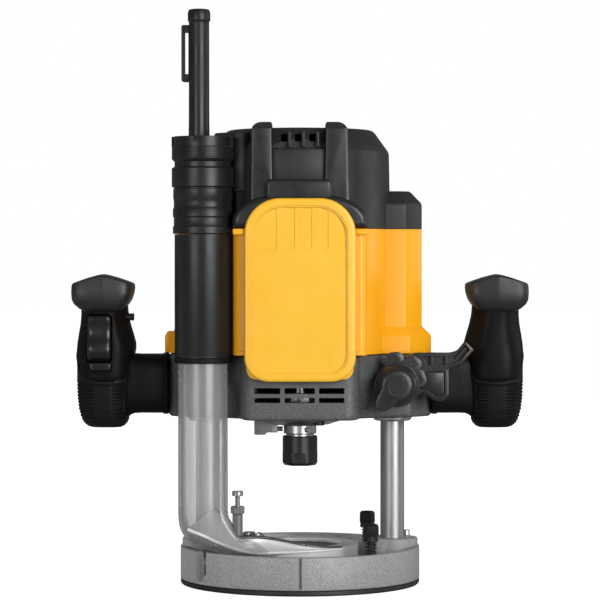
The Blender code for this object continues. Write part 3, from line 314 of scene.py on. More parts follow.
def facing(obj, centre, axis="Z", turn=0.0):
    """Points an object's own Z along an axis and puts it at its centre."""
    spin = Matrix.Rotation(math.radians(turn), 4, "Z")
    return shift(obj, Matrix.Translation(Vector(centre)) @ AXES[axis] @ spin)


def revolve(name, profile, centre=(0, 0, 0), axis="Z", segments=72, closed=False, turn=0.0):
    """A solid of revolution from a (radius, height) profile."""
    bm = bmesh.new()
    rows = []
    for radius, height in profile:
        around = angles(segments) if radius > 1e-6 else [0.0]
        rows.append([bm.verts.new((radius * math.cos(a), radius * math.sin(a), height))
                     for a in around])
    pairs = list(zip(rows, rows[1:]))
    if closed:
        pairs.append((rows[-1], rows[0]))
    for first, second in pairs:
        for i in range(segments):
            j = (i + 1) % segments
            corners = []
            for vert in (first[i % len(first)], first[j % len(first)],
                         second[j % len(second)], second[i % len(second)]):
                if vert not in corners:
                    corners.append(vert)
            if len(corners) > 2:
                bm.faces.new(corners)
    return facing(as_object(name, bm), centre, axis, turn)


def pole(name, radius, top, bottom, centre=(0, 0, 0), axis="Z", segments=72):
    """A plain cylinder, mostly for cutting round holes."""
    profile = [(0, top), (radius, top), (radius, bottom), (0, bottom)]
    return revolve(name, profile, centre, axis, segments)


def soft(profile, radius):
    """Rounds the inner corners of an open profile, leaving its two ends."""
    made = [profile[0]]
    for before, here, after in zip(profile, profile[1:], profile[2:]):
        made += corner_arc(before, here, after, radius, 3)
    return made + [profile[-1]]


def corner_arc(before, here, after, radius, steps):
    """Points on the arc that rounds one corner."""
    here = Vector(here)
    first = Vector(before) - here
    second = Vector(after) - here
    if radius <= 0 or first.length < 1e-6 or second.length < 1e-6:
        return [tuple(here)]
    half = first.angle(second) / 2
    if half > math.radians(86):
        return [tuple(here)]
    reach = min(radius / math.tan(half), first.length * 0.48, second.length * 0.48)
    radius = reach * math.tan(half)
    middle = here + (first.normalized() + second.normalized()).normalized() * (
        radius / math.sin(half))
    start = here + first.normalized() * reach - middle
    end = here + second.normalized() * reach - middle
    arc = []
    for k in range(steps + 1):
        arm = start.slerp(end, k / steps).normalized() * radius
        arc.append(tuple(middle + arm))
    return arc


def rounded(corners, radii, steps=6):
    """A closed outline with rounded corners."""
    if not isinstance(radii, (list, tuple)):
        radii = [radii] * len(corners)
    made = []
    for i, radius in enumerate(radii):
        made += corner_arc(corners[i - 1], corners[i], corners[(i + 1) % len(corners)],
                           radius, steps)
    return made


def rectangle(x0, z0, x1, z1):
    return [(x0, z0), (x1, z0), (x1, z1), (x0, z1)]


def wrap(bm, rows):
    """Makes the faces between successive closed rows of vertices."""
    count = len(rows[0])
    for first, second in zip(rows, rows[1:]):
        for i in range(count):
            j = (i + 1) % count
            bm.faces.new((first[i], first[j], second[j], second[i]))


def prism(name, outline, low, high, axis="Z", bevel=0.0, segments=2):
    """An outline between two heights. With axis -Y it faces the front and is drawn in (x, z)."""
    bm = bmesh.new()
    rows = []
    insets = [(low, 0.0), (high, 0.0)]
    if bevel:
        insets = []
        for k in range(segments + 1):
            angle = math.pi / 2 * k / segments
            insets.append((low + bevel * (1 - math.sin(angle)), bevel * (1 - math.cos(angle))))
        insets = insets[::-1]
        insets += [(high - (height - low), inset) for height, inset in insets[::-1]]
    for height, inset in insets:
        rows.append([bm.verts.new((x, y, height)) for x, y in inset_outline(outline, inset)])
    wrap(bm, rows)
    bm.faces.new(rows[0][::-1])
    bm.faces.new(rows[-1])
    obj = as_object(name, bm)
    if axis == "-Y":
        shift(obj, AXES[axis])
    elif axis == "X":
        shift(obj, Matrix(((0, 0, 1, 0), (1, 0, 0, 0), (0, 1, 0, 0), (0, 0, 0, 1))))
    return obj


def inset_outline(outline, distance):
    """An outline moved inwards. Short edges are kept, so its points still match."""
    if distance <= 0:
        return outline
    area = sum(a[0] * b[1] - b[0] * a[1] for a, b in zip(outline, outline[1:] + outline[:1]))
    side = 1.0 if area > 0 else -1.0
    made = []
    for i, point in enumerate(outline):
        before = outline[i - 1]
        after = outline[(i + 1) % len(outline)]
        first = Vector((point[0] - before[0], point[1] - before[1])).normalized()
        second = Vector((after[0] - point[0], after[1] - point[1])).normalized()
        normal = Vector((-(first.y + second.y), first.x + second.x)) * side
        if normal.length < 1e-6:
            made.append(point)
            continue
        normal.normalize()
        along = max(normal.dot(Vector((-first.y, first.x)) * side), 0.5)
        made.append((point[0] + normal.x * distance / along,
                     point[1] + normal.y * distance / along))
    return made


def block(name, low, high, bevel=0.0):
    """A box, with rounded edges if it has a bevel."""
    bm = bmesh.new()
    size = Vector(high) - Vector(low)
    centre = (Vector(high) + Vector(low)) / 2
    bmesh.ops.create_cube(bm, size=1, matrix=Matrix.Translation(centre)
                          @ Matrix.Diagonal((*size, 1)))
    if bevel:
        bmesh.ops.bevel(bm, geom=bm.edges[:], offset=bevel, segments=2, profile=0.5,
                        affect="EDGES")
    return as_object(name, bm)


def loft(name, rings):
    """A solid through closed rings of points, with both ends capped."""
    bm = bmesh.new()
    rows = [[bm.verts.new(point) for point in ring] for ring in rings]
    wrap(bm, rows)
    bm.faces.new(rows[0])
    bm.faces.new(rows[-1])
    return as_object(name, bm)


def wire(name, points, sizes, sides):
    """A round rod swept through points, with a radius for each."""
    places = [Vector(p) for p in points]
    rings = []
    up = Vector((0.13, 0.31, 0.94))
    for i, place in enumerate(places):
        before = places[max(i - 1, 0)]
        after = places[min(i + 1, len(places) - 1)]
        along = (after - before).normalized()
        side = along.cross(up)
        if side.length < 0.2:
            side = along.cross(Vector((1, 0, 0)))
        side.normalize()
        up = side.cross(along).normalized()
        rings.append([place + (side * math.cos(a) + up * math.sin(a)) * sizes[i]
                      for a in angles(sides)])
    return loft(name, rings)


def coil(name, radius, gauge, low, high, turns, centre, per_turn=28):
    """A compression spring with its ends closed flat."""
    points = []
    count = int(turns * per_turn)
    for i in range(count + 1):
        share = i / count
        angle = 2 * math.pi * i / per_turn
        eased = share + 0.06 * math.sin(2 * math.pi * share) * -0.5
        points.append((centre[0] + radius * math.cos(angle), centre[1] + radius * math.sin(angle),
                       low + gauge + (high - low - 2 * gauge) * eased))
    return wire(name, points, [gauge] * len(points), 8)


def combine(target, operation, *tools):
    """Applies exact Booleans to target's mesh and removes the tools."""
    for tool in tools:
        step = target.modifiers.new("step", "BOOLEAN")
        step.operation = operation
        step.solver = "EXACT"
        step.object = tool
    return bake(target, tools)


def bake(target, tools=()):
    """Replaces target's mesh by what its modifiers make of it."""
    graph = bpy.context.evaluated_depsgraph_get()
    mesh = bpy.data.meshes.new_from_object(target.evaluated_get(graph))
    old = target.data
    target.modifiers.clear()
    target.data = mesh
    bpy.data.meshes.remove(old)
    for tool in tools:
        bpy.data.objects.remove(tool)
    return target


def join(target, *tools):
    return combine(target, "UNION", *tools)


def cut(target, *tools):
    return combine(target, "DIFFERENCE", *tools)


def melt(obj, voxel, rounds):
    """Fuses an object's shapes into one skin with small fillets, as in a casting."""
    step = obj.modifiers.new("skin", "REMESH")
    step.mode = "VOXEL"
    step.voxel_size = voxel * MM
    relax = obj.modifiers.new("relax", "SMOOTH")
    relax.factor = 0.5
    relax.iterations = rounds
    return bake(obj)


def show(obj, look, body, slot, *replaced, angle=32.0):
    """Finishes a piece: smooth shading, its material, its body and the CAD nodes it stands for."""
    mesh = obj.data
    bm = bmesh.new()
    bm.from_mesh(mesh)
    bmesh.ops.remove_doubles(bm, verts=bm.verts, dist=1e-6)
    bmesh.ops.dissolve_degenerate(bm, edges=bm.edges, dist=1e-6)
    gaps = [edge for edge in bm.edges if len(edge.link_faces) == 1]
    if gaps:
        bmesh.ops.holes_fill(bm, edges=gaps, sides=0)
    bm.to_mesh(mesh)
    bm.free()
    mesh.shade_smooth()
    mesh.set_sharp_from_angle(angle=math.radians(angle))
    mesh.materials.clear()
    mesh.materials.append(look)
    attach(obj, body)
    if replaced:
        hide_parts(*replaced)
    return obj


# ---------------------------------------------------------------- base

def build_base():
    rim = [(30.5, 3.7)] + soft([(31, 3.7), (31, 14), (79.0, 14), (80.3, 26.5), (85, 26.5),
                                (85, 4.2), (84.2, 3.7), (40, 3.7)], 0.9)[1:]
    base = revolve("base", rim[::-1], segments=180, closed=True)
    for side in (-1, 1):
        x = side * COLUMN_X
        socket = soft([(0, 31.9), (18, 31.9), (18, 26), (19.5, 12), (0, 12)], 1.0)
        join(base, revolve("socket", socket, (x, 0, 0), segments=56))
        y = side * FENCE_ROD_Y
        join(base, block("channel", (-62, y - 5.5, 9), (62, y + 5.5, 21), 1.2))
        boss = [(0, 23.5), (7.2, 23.5), (8, 22.7), (8.6, 12), (0, 12)]
        join(base, revolve("boss", boss, (CLAMP_SCREW_X, y, 0), segments=36))
    join(base, revolve("turret_boss", [(0, 22), (12, 22), (13, 21), (13.4, 12), (0, 12)],
                       TURRET, segments=40))
    for side in (-1, 1):
        x, y = side * COLUMN_X, side * FENCE_ROD_Y
        cut(base, pole("hole", 8.75, 45, 8.2, (x, 0, 0), segments=48))
        # The fence rods come in from the sides, behind the rim's front face.
        reach = 100 if side > 0 else 66
        cut(base, pole("rod_hole", 4.1, reach, -reach, (0, y, 13.5), "X", 28))
        cut(base, pole("thread", 3.3, 45, 13.5, (CLAMP_SCREW_X, y, 0), segments=24))
    cut(base, pole("relief", 13.6, 40, 21.9, TURRET, segments=40))
    # A round-backed slot with a pointed foot, open to the front.
    cut(base, revolve("flute", [(0, 40), (4.3, 40), (4.3, 11.5), (1.0, 6.2), (0, 6.2)],
                      (-69.2, -47.6, 0), segments=32))
    slot = [(-73.5, 40), (-73.5, 11.5), (-70.2, 6.2), (-68.2, 6.2), (-64.9, 11.5), (-64.9, 40)]
    cut(base, prism("slot", slot, 47.6, 66, "-Y"))
    cut(base, block("mark", (-1.15, -90, 5.0), (1.15, -82.6, 28)))
    cut(base, block("flat", (84.3, -40, 3), (90, 40, 40)))
    cut(base, block("flat", (-90, -40, 3), (-84.3, 40, 40)))
    show(base, BASE_CAST, "base", "cast_metal", "base_casting")


def build_index_pin():
    post = revolve("index_pin", soft([(0, 35.2), (2.6, 35.2), (2.6, 24), (0, 24)], 0.8),
                   (76.2, 17.5, 0), segments=32)
    show(post, TURNED_STEEL, "base", "steel")


def build_sole():
    ring = [(84.6, 3.3), (84.6, 0.9), (83.9, 0.0), (29.6, 0.0), (29, 0.6), (29, 3.3)]
    sole = revolve("sole", ring, segments=144, closed=True)
    for angle in (90, 210, 330):
        place = (*polar(60, angle), 0)
        cut(sole, revolve("seat", [(0, 5), (2.6, 5), (2.6, 2.6), (5.4, -0.4), (0, -0.4)], place,
                          segments=32))
        head = [(0, 9.5), (2.0, 9.5), (2.0, 2.8), (4.4, 0.5), (2.4, 0.45), (2.0, 1.8), (0, 1.8)]
        screw = revolve(f"sole_screw_top_{angle}", head, place, segments=24)
        show(screw, TURNED_STEEL, "base", "steel", f"sole_screw_{1 + (angle - 90) // 120}")
    show(sole, SOLE, "base", "phenolic", "sole_plate")


def build_columns():
    for name, side in (("left_column", -1), ("right_column", 1)):
        profile = [(0, 14), (6.6, 14), (6.6, 171.5), (7.4, 172), (8.5, 171), (8.5, 8.6), (0, 8.6)]
        tube = revolve(name + "_tube", profile, (side * COLUMN_X, 0, 0), segments=96)
        show(tube, COLUMN_STEEL, "base", "steel", name)
        spring_name = name.replace("column", "plunge_spring")
        spring = coil(spring_name + "_coil", 4.9, 0.75, 15.0, 262.2, 24, (side * COLUMN_X, 0), 20)
        show(spring, BLACK_OXIDE, "base", "steel", spring_name, angle=60)
        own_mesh(spring)


def build_fence_clamps():
    for name, side in (("front", -1), ("rear", 1)):
        body = f"fence_clamp_{name}"
        y = side * FENCE_ROD_Y
        head = [(0, 43.2), (3.3, 43.2), (3.7, 44.6), (4.7, 45.7), (5.9, 44.3), (6.0, 38.4),
                (5.1, 36.6), (4.7, 35.9), (4.7, 34.0), (2.6, 34.0), (2.6, 18.2), (0, 18.2)]
        screw = revolve(body + "_knob", head, (CLAMP_SCREW_X, y, 0), segments=8, turn=22.5)
        join(screw, pole("collar", 5.2, 37.2, 34.0, (CLAMP_SCREW_X, y, 0), segments=32))
        show(screw, SATIN_BLACK, body, "black_nylon", f"fence_clamp_screw_{name}")
        spring = coil(body + "_coil", 3.7, 0.55, 23.8, 33.6, 4.0, (CLAMP_SCREW_X, y))
        show(spring, BLACK_OXIDE, body, "black_steel", f"fence_clamp_spring_{name}", angle=60)


def build_turret():
    disc = revolve("turret_body", [(3, 27), (11.8, 27), (12.6, 26.2), (12.6, 22.3), (3, 22.3)],
                   TURRET, segments=48, closed=True)
    for i in range(18):
        x, y = polar(12.9, 20 * i, TURRET)
        cut(disc, pole("notch", 0.8, 30, 20, (x, y, 0), segments=10))
    stops = (("high", 0, 42.6, 59.6), ("middle", 120, 26.4, 29.4), ("low", 240, 25.8, 28.6))
    for name, turn, post_top, top in stops:
        place = (*polar(8.2, 201.5 + turn, TURRET), 0)
        join(disc, revolve("post", [(0, post_top), (3.4, post_top), (3.8, post_top - 0.4),
                                    (3.8, 24), (0, 24)], place, segments=32))
        cut(disc, pole("thread", 2.1, 70, 24.6, place, segments=20))
        head = [(0, top - 1.1), (2.0, top - 1.1), (2.2, top), (3.8, top), (4.1, top - 0.4),
                (4.1, top - 3.2), (3.8, top - 3.6), (1.9, top - 3.6)]
        z = top - 3.9
        while z > 26.5:
            head += [(1.9, z), (1.6, z - 0.35)]
            z -= 0.7
        head += [(1.6, 25.2), (0, 25.2)]
        screw = revolve(f"stop_screw_{name}", head, place, segments=24)
        show(screw, TURNED_STEEL, f"stop_{name}", "steel", f"turret_stop_{name}")
    show(disc, TURRET_CAST, "turret", "cast_metal", "turret")


def build_turret_nut():
    place = (*polar(8.2, 201.5, TURRET), 0)
    nut = revolve("lock_nut", [(2.1, 48.6), (4.2, 48.6), (5.1, 48.0), (5.1, 43.4), (4.2, 42.8),
                               (2.1, 42.8)], place, segments=6, closed=True)
    show(nut, TURNED_STEEL, "turret", "steel", "turret_lock_nut", angle=20)


def build_turret_pivot():
    pivot = revolve("turret_pivot", [(0, 29.5), (3.2, 29.5), (3.7, 29.0), (3.7, 27.3), (2.3, 27.3),
                                     (2.3, 13), (0, 13)], TURRET, segments=28)
    cut(pivot, block("slot", (-44, 57.4, 28.5), (-32, 58.6, 31)))
    show(pivot, TURNED_STEEL, "base", "steel", "turret_pivot_screw")


# ---------------------------------------------------------------- dust duct

def hood_section(degrees, reach, height, tall, wide, shrink):
    """A ring of the hood's duct, leaning from upright at the riser to level at the ring."""
    along = Vector((-DUCT[0], -DUCT[1], 0)).normalized()
    side = Vector((along.y, -along.x, 0))
    lean = math.radians(degrees)
    up = along * math.cos(lean) + Vector((0, 0, math.sin(lean)))
    centre = Vector((*DUCT[:2], height)) + along * reach
    power = 2 / (2 + 1.2 * degrees / 90)
    return [centre + side * (swell(math.cos(a), power) * (wide - shrink))
            + up * (swell(math.sin(a), power) * (tall - shrink)) for a in angles(44)]


# degrees of lean, reach from the riser, height, half height and half width
HOOD_STATIONS = ((0, 0.0, 56.0, 17.2, 17.2), (20, 1.2, 47.5, 16.4, 17.3),
                 (48, 6.5, 40.6, 13.4, 17.3), (75, 20.0, 31.3, 7.8, 16.8),
                 (88, 33.0, 28.2, 6.6, 19.6), (90, 44.0, 24.0, 5.2, 20.6),
                 (90, 56.0, 21.3, 5.0, 20.0))


def spline(points, share):
    """A smooth curve through tuples, for a share from 0 to 1."""
    last = len(points) - 1
    place = min(share * last, last - 1e-6)
    i = int(place)
    t = place - i
    a = points[max(i - 1, 0)]
    b, c = points[i], points[i + 1]
    d = points[min(i + 2, last)]
    return tuple(0.5 * (2 * q + (r - p) * t + (2 * p - 5 * q + 4 * r - s) * t * t
                        + (3 * q - p - 3 * r + s) * t ** 3) for p, q, r, s in zip(a, b, c, d))


def hood_notch():
    """Room in the hood's ring for the spindle lock when the head is down."""
    return block("notch", (-34.4, -11.5, 22.5), (-20, 5.5, 50))


def build_hood():
    shares = [i / 30 for i in range(31)]
    outer = [hood_section(*spline(HOOD_STATIONS, s), 0.0) for s in shares]
    inner = [hood_section(*spline(HOOD_STATIONS, s), 1.8) for s in shares]
    inner.insert(0, [point + Vector((0, 0, 5)) for point in inner[0]])
    hood = revolve("hood_ring", [(0, 27.5), (40.2, 27.5), (41, 26.7), (41, 14.4), (0, 14.4)],
                   segments=120)
    riser = pole("riser", 17.2, 190, 54.5, DUCT, segments=44)
    join(hood, loft("duct", outer), riser)
    cut(hood, loft("duct_inside", inner))
    cut(hood, pole("riser_inside", 15.4, 200, 57, DUCT, segments=44))
    cut(hood, pole("ring_inside", 38.8, 25.7, 0, segments=120))
    cut(hood, pole("opening", 29, 60, 0, segments=96))
    cut(hood, hood_notch())
    show(hood, CLEAR, "base", "clear_plastic", "dust_hood", angle=38)


def build_scoop():
    """The scoop's front wall, from the riser round to the front of the ring."""
    top = ((-60, -40, 56), (-54, -41.5, 52.0), (-49.5, -44, 48.0), (-46.6, -46.5, 42.5),
           (-43, -47.2, 36.8), (-36, -46, 36.4), (-27, -44.4, 36.2), (-14, -42.8, 34.2),
           (1, -41.5, 31.0), (17, -37.6, 28.6), (29, -29.4, 27.7))
    foot = ((-77, -67.5, 44), (-68, -68, 40.5), (-60, -64.5, 36.5), (-53, -60, 33.0),
            (-46, -54, 29.5), (-38, -48, 26.8), (-28, -43, 25.0), (-15, -42.6, 25.2),
            (1, -42.0, 25.8), (17, -38.3, 26.4), (29.4, -29.8, 26.6))
    rings = []
    for i in range(41):
        upper, lower = Vector(spline(top, i / 40)), Vector(spline(foot, i / 40))
        front = []
        for k in range(9):
            point = upper.lerp(lower, k / 8)
            point.y -= 1.6 * math.sin(math.pi * k / 8) - 0.4 * k / 8
            front.append(point)
        rings.append(front + [point + Vector((0, 1.5, 0.2)) for point in front[::-1]])
    # The scoop's pale clear material paints light on it. A dark wire along its upper edge paints
    # the shade there, and a pale wire along its foot paints a highlight.
    show(loft("scoop", rings), CLEAR_PAINTED_LIGHT, "base", "clear_plastic")
    for name, path, size, look in (("scoop_painted_shade_line", top, 1.3, CLEAR_PAINTED_SHADE),
                                   ("scoop_painted_highlight_line", foot, 1.2, CLEAR_PAINTED_HIGHLIGHT)):
        places = [Vector(spline(path, i / 40)) for i in range(41)]
        sizes = [size * (1 - 0.3 * i / 40) for i in range(41)]
        show(wire(name, places, sizes, 12), look, "base", "clear_plastic", angle=60)


def build_hood_edges():
    """A pale rim round the hood's opening, which paints a highlight, and a pale skin over its ring,
    which paints light on it.
    """
    mouth = revolve("opening_rim", [(29.0, 27.9), (30.6, 27.9), (30.6, 25.9), (29.0, 25.9)],
                    segments=96, closed=True)
    cut(mouth, hood_notch())
    show(mouth, CLEAR_PAINTED_HIGHLIGHT, "base", "clear_plastic")
    painted_light_skin = revolve("ring_painted_light", [(30.4, 27.95), (40.9, 27.95), (41.5, 27.4), (41.5, 14.6),
                                 (41.1, 14.6), (41.1, 27.0), (40.7, 27.55), (30.4, 27.55)],
                   segments=120, closed=True)
    cut(painted_light_skin, hood_notch())
    show(painted_light_skin, CLEAR_PAINTED_LIGHT, "base", "clear_plastic")


def build_sleeve():
    sleeve = [(18.0, 246.3), (19.5, 246.3), (19.5, 164.0), (19.2, 163.0), (19.2, 162.0),
              (18.0, 162.0)]
    tube = revolve("sleeve", sleeve, DUCT, segments=96, closed=True)
    show(tube, SLEEVE_BLACK, "head", "black_nylon", "dust_sleeve")
    seal = [(17.7, 161.7), (19.3, 161.7), (19.8, 161.0), (19.8, 158.2), (19.3, 157.6),
            (17.7, 157.6)]
    show(revolve("wiper", seal, DUCT, segments=96, closed=True), GRIP_BLACK, "head",
         "black_rubber", "sleeve_seal")


def build_hose_adaptor():
    profile = [(18.0, 246.6), (20.2, 246.6), (20.65, 247.0), (20.65, 251.3), (20.3, 251.8),
               (20.0, 252.3), (20.0, 257.6), (20.65, 258.6), (20.65, 263.7), (20.3, 264.3),
               (20.0, 264.9), (20.0, 269.8), (20.4, 270.7), (20.4, 277.2), (19.9, 277.6),
               (19.9, 278.2), (21.0, 278.7), (21.4, 279.2), (21.4, 291.4), (20.8, 292.2),
               (19.5, 292.6), (19.5, 296.0), (21.0, 297.5), (21.4, 298.2)]
    for i in range(5):
        z = 299.6 + 1.4 * i
        profile += [(21.4, z), (21.2, z + 0.15), (21.2, z + 0.35), (21.4, z + 0.5)]
    profile += [(21.4, 306.1), (21.1, 306.5), (20.3, 306.6), (20.3, 313.2), (20.0, 313.5),
                (18.6, 313.5), (18.2, 313.0), (18.0, 300.0)]
    adaptor = revolve("hose_end", profile, DUCT, segments=96, closed=True)
    for centre in (-97, -7, 83, 173):
        rings = []
        for z, half, reach in ((306.2, 11.8, 21.4), (307.4, 11.2, 21.5), (312.8, 8.4, 21.5),
                               (313.5, 8.0, 21.1)):
            arc = [math.radians(centre - half + 2 * half * i / 8) for i in range(9)]
            ring = [(DUCT[0] + reach * math.cos(a), DUCT[1] + reach * math.sin(a), z) for a in arc]
            ring += [(DUCT[0] + 18.9 * math.cos(a), DUCT[1] + 18.9 * math.sin(a), z)
                     for a in arc[::-1]]
            rings.append(ring)
        join(adaptor, loft("tooth", rings))
    show(adaptor, SLEEVE_BLACK, "head", "black_nylon", "hose_adaptor")


def build_cord_guard():
    guard = [(3.9, 267), (8.0, 267), (7.9, 284), (7.3, 330.0), (7.2, 396.2), (7.3, 397.0),
             (7.9, 397.8), (8.0, 398.6), (8.0, 403.6), (7.2, 405.6), (5.6, 406.0), (3.9, 405.6)]
    piece = revolve("cord_sleeve", guard, CORD, segments=64, closed=True)
    clip = prism("clip", rounded(rectangle(-84.0, 354.4, -75.0, 394.8), [2, 0, 0, 1.5], 4),
                 -2.2, 2.2, "-Y", 0.5)
    cut(clip, prism("clip_window", rounded(rectangle(-81.3, 360.0, -79.0, 389.4), 0.6, 2),
                    -5, 5, "-Y"))
    join(piece, clip)
    cut(piece, pole("bore", 3.9, 420, 260, CORD, segments=32))
    show(piece, SLEEVE_BLACK, "head", "black_rubber", "cord_guard")


def build_cord():
    path = [(-42, 0, 271), (-66.5, 0, 271)]
    for i in range(1, 8):
        angle = math.pi / 2 * i / 8
        path.append((-66.5 - 5 * math.sin(angle), 0, 276 - 5 * math.cos(angle)))
    path += [(-71.5, 0, 276), (-71.5, 0, 405)]
    show(wire("cord", path, [3.2] * len(path), 24), GRIP_BLACK, "head", "black_rubber",
         "power_cord")


# ---------------------------------------------------------------- head shells

def eight_sided(name, profile, x, bevel):
    """An eight-sided tower with softened corners. The profile gives apothems and heights."""
    rings = []
    for apothem, z in profile:
        corners = [polar(apothem / math.cos(math.pi / 8), 22.5 + 45 * i, (x, 0)) for i in range(8)]
        rings.append([(px, py, z) for px, py in rounded(corners, bevel, 3)])
    return loft(name, rings)


def build_bracket():
    flange = revolve("bracket", [(0, 162.7), (63.4, 162.7), (63.4, 146), (58, 136), (0, 136)],
                     segments=120)
    half = [(39, -62), (43, -38), (51, -33), (60, -24), (60, 24), (45, 38), (36, 42.5),
            (30, 44), (20, 55)]
    corners = [(-x, y) for x, y in half[::-1]] + half
    radii = [12, 7, 6, 0, 0, 0, 0, 3, 9]
    join(flange, prism("block", rounded(corners, radii + radii[::-1], 8), 118.0, 162.5, "Z", 1.5))
    for side in (-1, 1):
        boss = [(27.0, 162.6), (27.0, 119.8), (25.4, 118.2)]
        join(flange, eight_sided("boss", boss, side * COLUMN_X, 3.0))
    join(flange, block("lug", (-54, 44, 142.3), (-33, 63, 162.0), 1.5))
    melt(flange, 1.1, 5)
    cut(flange, pole("fan_room", 50, 175, 127, segments=72))
    cut(flange, pole("bearing_room", 20.3, 135, 105, segments=48))
    for side in (-1, 1):
        x = side * COLUMN_X
        cut(flange, pole("bush_room", 12.3, 136.4, 105, (x, 0, 0), segments=40))
        cut(flange, pole("bore", 9.6, 175, 130, (x, 0, 0), segments=36))
    for x0, x1 in ((-31.4, -13.6), (-10.6, 10.2), (13.0, 30.4)):
        for z0, z1 in ((136.6, 140.6), (130.4, 133.8)):
            slot = prism("slot", rounded(rectangle(x0, z0, x1, z1), 0.5, 2), 40, 72, "-Y")
            cut(flange, slot)
    cut(flange, pole("bolt_hole", 4, 35, 5, HUB_PLACE, "-Y", 24))
    cut(flange, pole("guide", 3.9, 175, 135, (*SCALE_ROD, 0), segments=24))
    cut(flange, pole("pinion_hole", 3.9, 75, 45, (PINION[0], 0, PINION[1]), "Y", 24))
    cut(flange, pole("clamp_hole", 2.8, 8, -8, (-54, 55, 152), "X", 20))
    show(flange, BRACKET, "head", "cast_metal", "motor_bracket", angle=45)


def build_retainer():
    retainer = revolve("retainer", [(12.2, 117.9), (33.0, 117.9), (33.0, 116.6), (31.6, 115.6),
                                    (22.0, 112.6), (21.0, 112.2), (12.2, 112.2)],
                       segments=80, closed=True)
    cut(retainer, block("lock_slot", (-40, -10.4, 100), (-8, 4.4, 125)))
    for number, angle in ((1, -61), (2, 159)):
        place = (*polar(27, angle), 0)
        cut(retainer, pole("seat", 4.5, 116.1, 100, place, segments=28))
        head = [(0, 125), (2, 125), (2, 115.8), (3.6, 115.8), (4.0, 115.4), (4.0, 113.0),
                (3.6, 112.6), (2.1, 112.6), (1.8, 114.4), (0, 114.4)]
        show(revolve(f"cap_screw_{number}", head, place, segments=28), BLACK_OXIDE, "head",
             "black_steel", f"retainer_screw_{number}")
    show(retainer, CHROME, "head", "steel", "bearing_retainer")


def build_bushes():
    for name, side in (("left_bush", -1), ("right_bush", 1)):
        profile = [(8.8, 136), (11.9, 136), (11.9, 117.7), (13.4, 117.7), (13.8, 117.2),
                   (13.6, 116.0), (12.4, 114.8), (9.3, 114.6), (8.8, 115.2)]
        wiper = revolve(name + "_ring", profile, (side * COLUMN_X, 0, 0), segments=72, closed=True)
        show(wiper, TURNED_STEEL, "head", "steel", name)


def frame_outline(x, front, radius):
    """The outline of the housing's square front, seen from above."""
    return rounded(rectangle(-x, front, x, 0), [radius * 1.8, radius, 0, 0])


def build_housing():
    shell = pole("shell", 64, 250.2, 163, segments=144)
    join(shell, prism("frame", frame_outline(46, -66, 5), 163.2, 250.0))
    join(shell, prism("lip", frame_outline(45.9, -67.4, 5), 246.2, 250.1, "Z", 0.4))
    join(shell, prism("sill", frame_outline(45.9, -66.8, 5), 163.1, 166.2, "Z", 0.4))
    for side in (-1, 1):
        tower = [(20.5, 250.2), (20.5, 182.6), (20.9, 181.4), (26.2, 176.4), (27.0, 175.0),
                 (27.0, 163.1)]
        join(shell, eight_sided("tower", tower, side * COLUMN_X, 1.6))
    chamber = pole("chamber", 60, 260, 150, segments=96)
    for side in (-1, 1):
        cut(chamber, pole("tube_wall", 15, 270, 140, (side * COLUMN_X, 0, 0), segments=40))
    cut(shell, chamber)
    cut(shell, prism("frame_inside", frame_outline(42, -62, 3), 150, 260))
    for side in (-1, 1):
        cut(shell, pole("bore", 12.5, 260, 150, (side * COLUMN_X, 0, 0), segments=40))
    for angle in (40, 140, 220, 320):
        rib = block("rib", (42.4, -2, 178), (62, 2, 236))
        join(shell, shift(rib, Matrix.Rotation(math.radians(angle), 4, "Z")))
    foot = rounded([(-90, 163.2), (-95.4, 163.2), (-95.4, 175.0), (-93.6, 178.0), (-90, 178.0)],
                   [0, 0.8, 0.8, 0.8, 0], 3)
    join(shell, prism("left_foot", foot, -9, 9, "-Y", 0.8))
    cut(shell, prism("window", rectangle(-30, 175, 30, 240), 50, 80, "-Y"))
    show(shell, YELLOW, "head", "yellow_shell", "motor_housing", angle=28)


def arch(half, low, high):
    """The outline of an arch with full shoulders and straight feet."""
    outline = []
    for i in range(41):
        angle = math.pi * i / 40
        z = low + (high - low) * abs(math.sin(angle)) ** 0.8
        if i in (0, 40) or z > low + 6:
            outline.append((half * swell(math.cos(angle), 0.8), z))
    return outline


